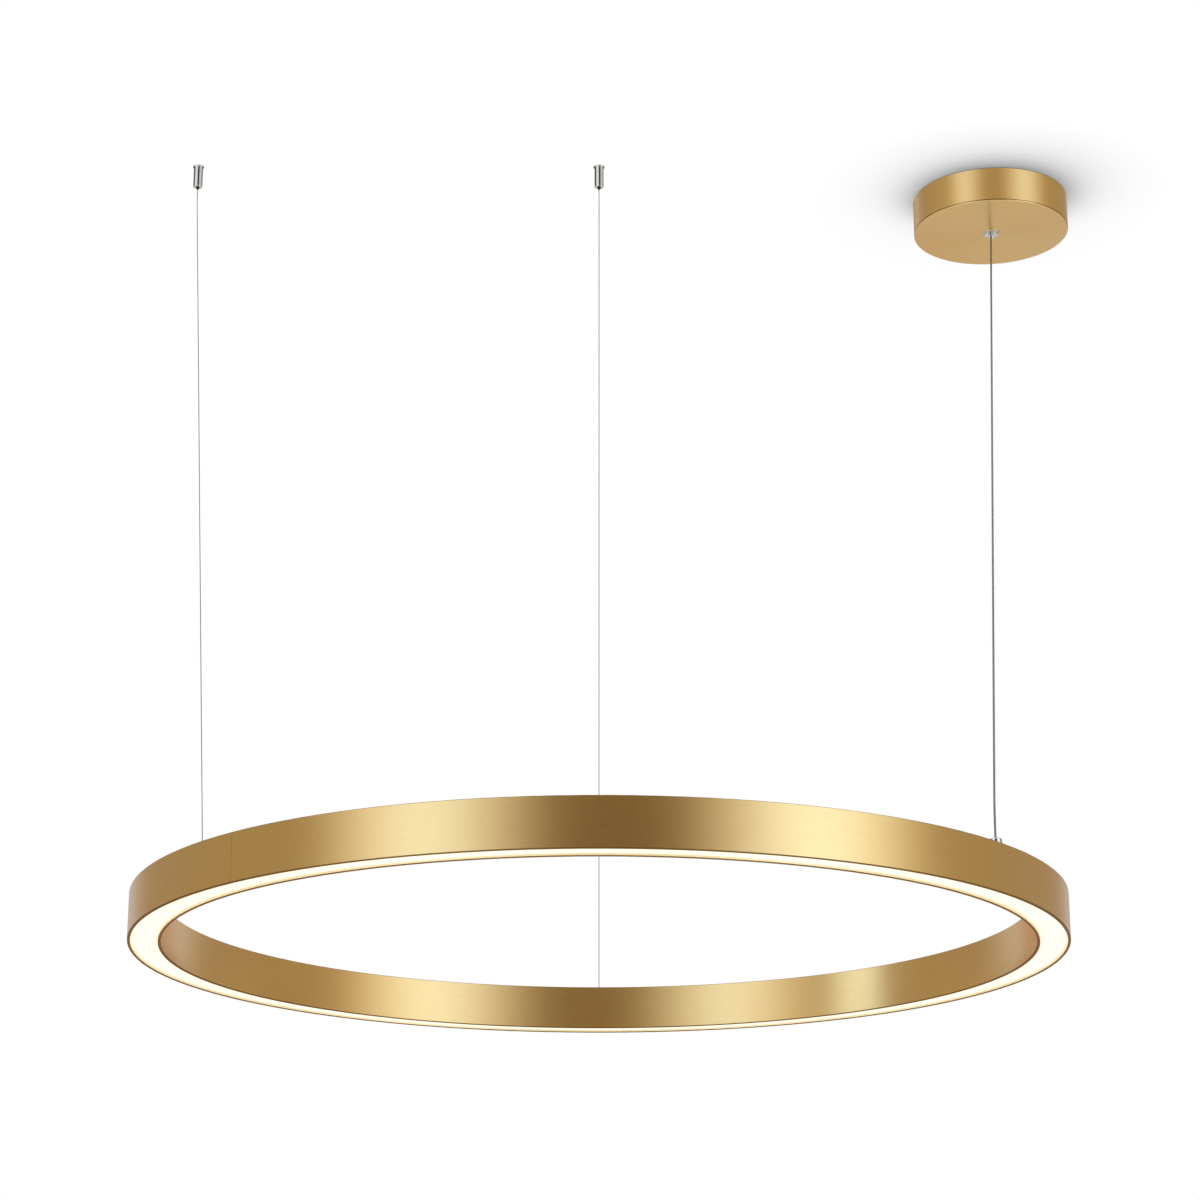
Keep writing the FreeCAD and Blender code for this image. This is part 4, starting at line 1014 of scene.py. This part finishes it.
class CHANDELIER_OT_feed_cable(bpy.types.Operator):
    """Lay the twisted feed cable"""
    bl_idname = "chandelier.feed_cable"
    bl_label = "Feed cable"

    def execute(self, context):
        lines = context.scene.chandelier_lines
        outer = lines.cable_diameter / 2
        # Tinned copper cores under clear vinyl: bright grey with a wet gloss.
        cores = plain_metal("tinned_cores_in_clear_vinyl", ("A4A6A9", "8C8E92"),
                            (0.25, 0.4), 2 * MM, Coat_Weight=1.0, Coat_Roughness=0.08)
        # Vinyl fillers in the grooves between the cores, a darker grey that is painted shade in the grooves.
        fillers = moulded("clear_vinyl_fillers", ("6E7073", "5E6063"), (0.2, 0.3),
                          2 * MM, 0.1)
        # Two cores side by side, and two thinner fillers in the gaps they leave.
        core, filler = outer / 2, outer / 3
        strands = [(core, core, 0.0, 0), (core, core, 0.5, 0),
                   (filler, outer * 2 / 3, 0.25, 1), (filler, outer * 2 / 3, 0.75, 1)]
        piece, points = twisted_cord("twisted_feed_cable", FEED_CABLE,
                                     lines.cable_pitch / CABLE_POINTS,
                                     lines.cable_pitch, strands, [cores, fillers])
        hang(piece, "feed_cable", "cable_jacket", FEED_CABLE, points,
             lines.cable_diameter, "medium")
        return {"FINISHED"}


class CHANDELIER_OT_leads(bpy.types.Operator):
    """Lay the two leads inside the canopy"""
    bl_idname = "chandelier.leads"
    bl_label = "Canopy leads"

    def execute(self, context):
        lines = context.scene.chandelier_lines
        for name, slot, route in (("driver_input_lead", "lead_jacket", INPUT_LEAD),
                                  ("driver_output_lead", "cable_jacket", OUTPUT_LEAD)):
            # One strand on the line itself, which no pitch moves.
            strands = [(lines.lead_diameter / 2, 0.0, 0.0, 0)]
            piece, points = twisted_cord("round_" + name, route, LEAD_STEP, 1.0,
                                         strands, [FINISHES[slot]])
            hang(piece, name, slot, route, points, lines.lead_diameter, "limp")
        return {"FINISHED"}


class CHANDELIER_OT_ring(bpy.types.Operator):
    """Finish the ring, its light source and its fittings"""
    bl_idname = "chandelier.ring"
    bl_label = "Ring"

    def execute(self, context):
        dress(RING_NODES)
        return {"FINISHED"}


class CHANDELIER_OT_anchors(bpy.types.Operator):
    """Finish the two wire grippers on the ceiling"""
    bl_idname = "chandelier.anchors"
    bl_label = "Ceiling anchors"

    def execute(self, context):
        dress(ANCHOR_NODES)
        for side in ("left", "centre"):
            release_spring(side)
        return {"FINISHED"}


class CHANDELIER_OT_canopy(bpy.types.Operator):
    """Finish the canopy and what it covers"""
    bl_idname = "chandelier.canopy"
    bl_label = "Canopy"

    def execute(self, context):
        dress(CANOPY_NODES)
        return {"FINISHED"}


class CHANDELIER_OT_stage(bpy.types.Operator):
    """Build the floor, the ceiling patch, the cards, the lamps and the camera"""
    bl_idname = "chandelier.stage"
    bl_label = "Studio"

    def execute(self, context):
        studio = context.scene.chandelier_studio
        floor = flat_sheet("floor", FLOOR_HALF,
                           Matrix.Translation((0, 0, studio.floor_height)))
        stage_object("floor", floor, floor_material())
        ceiling = flat_sheet("ceiling", CEILING_HALF,
                             Matrix.Translation(CEILING_MIDDLE), turned_down=True)
        ceiling = stage_object("ceiling", ceiling, ceiling_material())
        ceiling.visible_diffuse = False
        ceiling.visible_glossy = False
        ceiling.visible_shadow = False
        for cloth in BACKDROPS:
            backdrop(*cloth)
        for panel in PANELS:
            soft_panel(*panel)
        side_panel()
        chrome_flags()
        for lamp in LAMPS:
            soft_lamp(*lamp)
        make_world(studio.light)
        make_camera()
        context.scene.view_settings.view_transform = "Standard"
        return {"FINISHED"}


class CHANDELIER_PT_panel(bpy.types.Panel):
    """The chandelier's pieces and settings"""
    bl_label = "LED ring chandelier"
    bl_idname = "CHANDELIER_PT_panel"
    bl_space_type = "VIEW_3D"
    bl_region_type = "UI"
    bl_category = "Chandelier"

    def draw(self, context):
        for key in GROUPS:
            group = getattr(context.scene, key)
            box = self.layout.box()
            for name in group.__annotations__:
                box.prop(group, name)
        for operator in OPERATORS:
            self.layout.operator(operator.bl_idname)


GROUPS = {"chandelier": ChandelierLooks, "chandelier_lines": ChandelierLines,
          "chandelier_studio": ChandelierStudio}
OPERATORS = [CHANDELIER_OT_wires, CHANDELIER_OT_feed_cable, CHANDELIER_OT_leads,
             CHANDELIER_OT_ring, CHANDELIER_OT_anchors, CHANDELIER_OT_canopy,
             CHANDELIER_OT_stage]


def register():
    for name, group in GROUPS.items():
        bpy.utils.register_class(group)
        setattr(bpy.types.Scene, name, PointerProperty(type=group))
    for operator in OPERATORS:
        bpy.utils.register_class(operator)
    bpy.utils.register_class(CHANDELIER_PT_panel)


def unregister():
    bpy.utils.unregister_class(CHANDELIER_PT_panel)
    for operator in reversed(OPERATORS):
        bpy.utils.unregister_class(operator)
    for name, group in reversed(GROUPS.items()):
        delattr(bpy.types.Scene, name)
        bpy.utils.unregister_class(group)


def main():
    register()
    FINISHES.update(make_finishes())
    for step in (bpy.ops.chandelier.wires, bpy.ops.chandelier.feed_cable,
                 bpy.ops.chandelier.leads, bpy.ops.chandelier.ring,
                 bpy.ops.chandelier.anchors, bpy.ops.chandelier.canopy,
                 bpy.ops.chandelier.stage):
        step()
    sizes = {"cad": [list(corner) for corner in CAD_BOX],
             "visual": [list(corner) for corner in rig.bounds()]}
    with open("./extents.json", "w") as file:
        json.dump(sizes, file)


if __name__ == "__main__":
    main()
